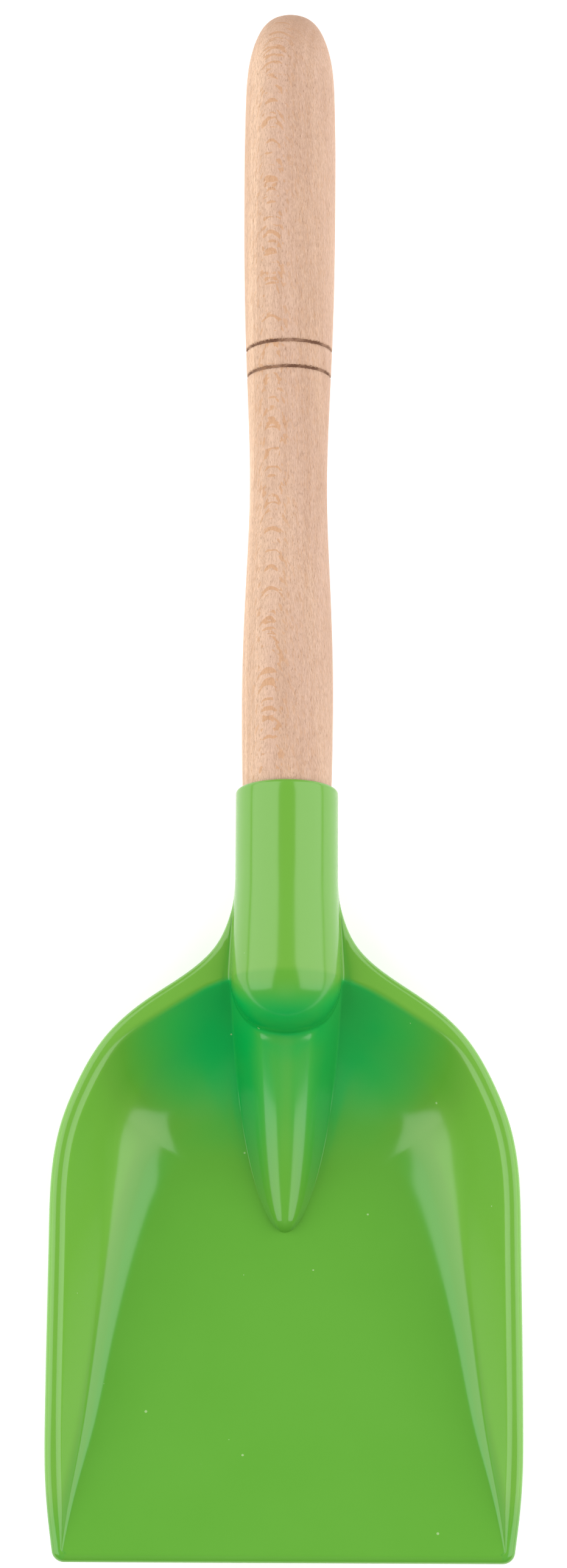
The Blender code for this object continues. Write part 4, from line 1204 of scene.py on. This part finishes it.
ZINC_COOL = (0.50, 0.52, 0.53, 1)
ZINC_WARM = (0.72, 0.71, 0.66, 1)
ZINC_DULL = (0.20, 0.19, 0.17, 1)
ZINC_ROUGHNESS = (0.0, 0.8, 0.24, 0.42)
CRYSTALS_PER_METRE = 2400.0
DULL_PER_METRE = 1500.0
DULL_SHARE = 0.25
DULL_COVER = 0.6
DULL_ROUGHNESS = 0.25
ZINC_RELIEF = 0.004 * MM


def zinc_material():
    """Bright zinc plate with a faint crystal pattern and duller patches from handling."""
    material, tree, shader, place = started("zinc_plate")
    cloud, fine = unevenness(tree, place, 700.0, 9000.0)
    inputs = {"Vector": place, "Scale": CRYSTALS_PER_METRE}
    crystals = placed(tree, "TexVoronoi", inputs, feature="SMOOTH_F1")
    dull = specks(tree, place, DULL_PER_METRE, DULL_SHARE)
    colour = blended(tree, cloud, ZINC_COOL, ZINC_WARM)
    colour = blended(tree, calculated(tree, "MULTIPLY", dull, DULL_COVER), colour, ZINC_DULL)
    roughness = ramped(tree, crystals.outputs["Distance"], *ZINC_ROUGHNESS)
    roughness = calculated(tree, "MULTIPLY_ADD", dull, DULL_ROUGHNESS, roughness)
    finished(tree, shader, colour, roughness, fine, ZINC_RELIEF)
    shader.inputs["Metallic"].default_value = 1.0
    return material


# Where painted light and shade change the plastic's green. A pair is where a smooth change starts and ends.
SHELTER_RAYS = 24
SHELTER_REACH = 90 * MM
SHELTER_LIFT = 0.2 * MM  # a ray starts this far off the surface
SHELTER_ROUNDS = 3
HEEL_CENTRE_Y = -65.0 * MM  # the painted shade is deepest round here, just past the socket's root
HEEL_SPREAD = (16.0 * MM, 52.0 * MM)
HEEL_FLATTENING = 0.8
HEEL_SHELTER = (0.12, 0.9)
HIDDEN_WEIGHT = 1.3
FORWARD_WEIGHT = 0.9
FLOOR_FADE = (0.5 * MM, 5.0 * MM)  # height over the floor
RIDGE_FADE = (0.0, 2.0 * MM)  # inside the ridge's widest foot
WALL_STEEPNESS = (0.25, 0.6)
FOLD_FROM_FLOOR = (0.03, 0.18)  # steepness
FOLD_INTO_WALL = (0.25, 0.45)
FOLD_PLACE = (25.0 * MM, 38.0 * MM)  # from the centre line
# painted shade in a band along the foot of the walls
FOLD_PAINTED_SHADE = 0.14


def hidden_share(bm):
    """How much of the open space over each vertex the piece's own walls take up."""
    walls = BVHTree.FromBMesh(bm)
    golden = math.pi * (3 - math.sqrt(5))
    directions = []
    for k in range(SHELTER_RAYS):
        out = math.sqrt((k + 0.5) / SHELTER_RAYS)
        x, y = out * math.cos(golden * k), out * math.sin(golden * k)
        directions.append(Vector((x, y, math.sqrt(1 - out * out))))
    hidden = np.zeros(len(bm.verts))
    for vertex in bm.verts:
        start = vertex.co + vertex.normal * SHELTER_LIFT
        turn = Vector((0, 0, 1)).rotation_difference(vertex.normal).to_matrix()
        hits = sum(walls.ray_cast(start, turn @ way, SHELTER_REACH)[0] is not None for way in directions)
        hidden[vertex.index] = hits / SHELTER_RAYS
    edges = np.array([[vertex.index for vertex in edge.verts] for edge in bm.edges])
    for _ in range(SHELTER_ROUNDS):
        total = hidden.copy()
        count = np.ones(len(hidden))
        for one, other in (edges.T, edges.T[::-1]):
            np.add.at(total, one, hidden[other])
            np.add.at(count, one, 1)
        hidden = total / count
    return hidden


def add_painted_light_shade(piece, rest):
    """Stores painted light and shade at each vertex, by where it lies in the bowl and how sheltered it is:
    lighter on the walls and outside, darker in the sheltered heel and along the foot of the walls.
    """
    bm = bmesh.new()
    bm.from_mesh(piece.data)
    bm.transform(rest.inverted())
    bm.normal_update()
    hidden = hidden_share(bm)
    x, y, z = np.array([vertex.co[:] for vertex in bm.verts]).T
    normals = np.array([vertex.normal[:] for vertex in bm.verts])
    bm.free()
    steep, forward = np.abs(normals[:, 0]), -normals[:, 1]
    over_floor = z - np.array([floor_height(value) for value in y])
    inside = over_floor > -WALL / 2
    in_bowl = (y < ROOT_Y) * inside
    on_ridge = smoothstep(ROOT_RADIUS - np.abs(x), *RIDGE_FADE) * (y > RIDGE_TIP_Y)
    floor = in_bowl * np.maximum(1 - smoothstep(over_floor, *FLOOR_FADE), on_ridge)
    wall = in_bowl * smoothstep(steep, *WALL_STEEPNESS) * (1 - on_ridge)
    # painted shade: a darker band where the floor turns up into the walls
    fold = smoothstep(steep, *FOLD_FROM_FLOOR) * (1 - smoothstep(steep, *FOLD_INTO_WALL))
    fold = FOLD_PAINTED_SHADE * fold * floor * (1 - on_ridge) * smoothstep(np.abs(x), *FOLD_PLACE)
    # painted shade: darker in the heel where the piece's own walls hide the open space or the surface faces
    # forward
    near_heel = 1 - smoothstep(np.hypot(HEEL_FLATTENING * x, y - HEEL_CENTRE_Y), *HEEL_SPREAD)
    shade_mask = smoothstep(HIDDEN_WEIGHT * hidden + FORWARD_WEIGHT * forward, *HEEL_SHELTER)
    # painted light: the walls and the outside start lighter than the floor
    base = FLOOR_TONE * floor + OUTSIDE_TONE * (1 - wall) * (1 - floor)
    painted_light_shade = base + (1 - base) * np.maximum(near_heel * shade_mask * inside, fold)
    piece.data.attributes.new("painted_light_shade", "FLOAT", "POINT").data.foreach_set("value", painted_light_shade)


FLOOR_HALF_SIZE = 6.0
FLOOR_GLOW = 0.38
FLOOR_PALE = (0.90, 0.90, 0.90, 1)
FLOOR_PALER = (0.93, 0.93, 0.93, 1)
FLOOR_ROUGHNESS = (0.2, 0.8, 0.85, 0.95)
FLOOR_RELIEF = 0.01 * MM


def floor_material():
    material, tree, shader, place = started("pale_floor")
    cloud, fine = unevenness(tree, place, 4.0, 300.0)
    colour = blended(tree, cloud, FLOOR_PALE, FLOOR_PALER)
    finished(tree, shader, colour, ramped(tree, cloud, *FLOOR_ROUGHNESS), fine, FLOOR_RELIEF)
    shader.inputs["Emission Color"].default_value = (1, 1, 1, 1)
    shader.inputs["Emission Strength"].default_value = FLOOR_GLOW
    return material


add_painted_light_shade(blade, REST)
blade.data.materials.append(moulding_material())
handle.data.materials.append(beech_material(REST))
screw.data.materials.append(zinc_material())


# Stage: floor, lights and camera

VIEW_ELEVATION = math.radians(78.3)
VIEW_DISTANCE = 2.4
VIEW_HEIGHT = 0.4408  # of what the camera sees at the distance of the scoop
VIEW_ROLL = math.radians(0.28)
AIM = Vector((-0.001, -0.0035, 0.022))
BACK = Vector((0, -math.cos(VIEW_ELEVATION), math.sin(VIEW_ELEVATION)))  # towards the camera
RIGHT = Vector((1, 0, 0))
UP = BACK.cross(RIGHT)


def add_floor():
    bm = bmesh.new()
    bmesh.ops.create_grid(bm, x_segments=1, y_segments=1, size=FLOOR_HALF_SIZE)
    floor = object_from("studio_floor", bm)
    floor.data.materials.append(floor_material())


def add_camera():
    data = bpy.data.cameras.new("view")
    data.angle = 2 * math.atan(VIEW_HEIGHT / 2 / VIEW_DISTANCE)
    camera = linked("view", data)
    camera.location = AIM + BACK * VIEW_DISTANCE
    camera.rotation_mode = "QUATERNION"
    roll = Matrix.Rotation(VIEW_ROLL, 4, "Z").to_quaternion()
    camera.rotation_quaternion = (-BACK).to_track_quat("-Z", "Y") @ roll
    bpy.context.scene.camera = camera


SOFTBOX_SIDE_ANGLES = (math.radians(26), math.radians(87))
SOFTBOX_UP_ANGLES = (math.radians(-17), math.radians(58))
SOFTBOX_DISTANCE = 1.3
SOFTBOX_RADIANCE = 1.9
FILL_UP_ANGLE = math.radians(-20)
FILL_DISTANCE = 1.5
FILL_SIZE = 0.9
FILL_RADIANCE = 3.2
BOWL_CENTRE = Vector((0, -0.13, 0.02))


def add_area_light(name, direction, distance, size, radiance):
    """A rectangular light that faces the bowl from the given direction."""
    data = bpy.data.lights.new(name, "AREA")
    data.shape = "RECTANGLE"
    data.size, data.size_y = size
    data.energy = radiance * math.pi * data.size * data.size_y
    light = linked(name, data)
    light.location = BOWL_CENTRE + direction * distance
    across = UP.cross(direction).normalized()
    tall = direction.cross(across)
    light.rotation_mode = "QUATERNION"
    light.rotation_quaternion = Matrix((across, tall, direction)).transposed().to_quaternion()
    return light


def add_softbox(name, side):
    side_mid, up_mid = (sum(angles) / 2 for angles in (SOFTBOX_SIDE_ANGLES, SOFTBOX_UP_ANGLES))
    outward = BACK * math.cos(side_mid) + RIGHT * side * math.sin(side_mid)
    direction = outward * math.cos(up_mid) + UP * math.sin(up_mid)
    size = [
        2 * SOFTBOX_DISTANCE * math.tan((high - low) / 2)
        for low, high in (SOFTBOX_SIDE_ANGLES, SOFTBOX_UP_ANGLES)
    ]
    add_area_light(name, direction, SOFTBOX_DISTANCE, size, SOFTBOX_RADIANCE)


def add_fill():
    """Even light from over the viewer's head, too diffuse to leave a highlight."""
    direction = BACK * math.cos(FILL_UP_ANGLE) + UP * math.sin(FILL_UP_ANGLE)
    fill = add_area_light("overhead_fill", direction, FILL_DISTANCE, (FILL_SIZE, FILL_SIZE), FILL_RADIANCE)
    fill.visible_glossy = False


ROOM_LIGHT = 0.12
ROOM_SEEN = 0.80  # how much brighter the room's walls look than the light that they give


def add_world():
    world = bpy.data.worlds.new("soft_room")
    world.use_nodes = True
    tree = world.node_tree
    seen = placed(tree, "LightPath").outputs["Is Camera Ray"]
    strength = calculated(tree, "MULTIPLY_ADD", seen, ROOM_SEEN, ROOM_LIGHT)
    background = tree.nodes["Background"]
    background.inputs["Color"].default_value = (1, 1, 1, 1)
    tree.links.new(strength, background.inputs["Strength"])
    bpy.context.scene.world = world


add_floor()
add_camera()
add_softbox("softbox_left", -1)
add_softbox("softbox_right", 1)
add_fill()
add_world()
bpy.context.scene.view_settings.view_transform = "Standard"
bpy.context.scene.view_settings.look = "None"
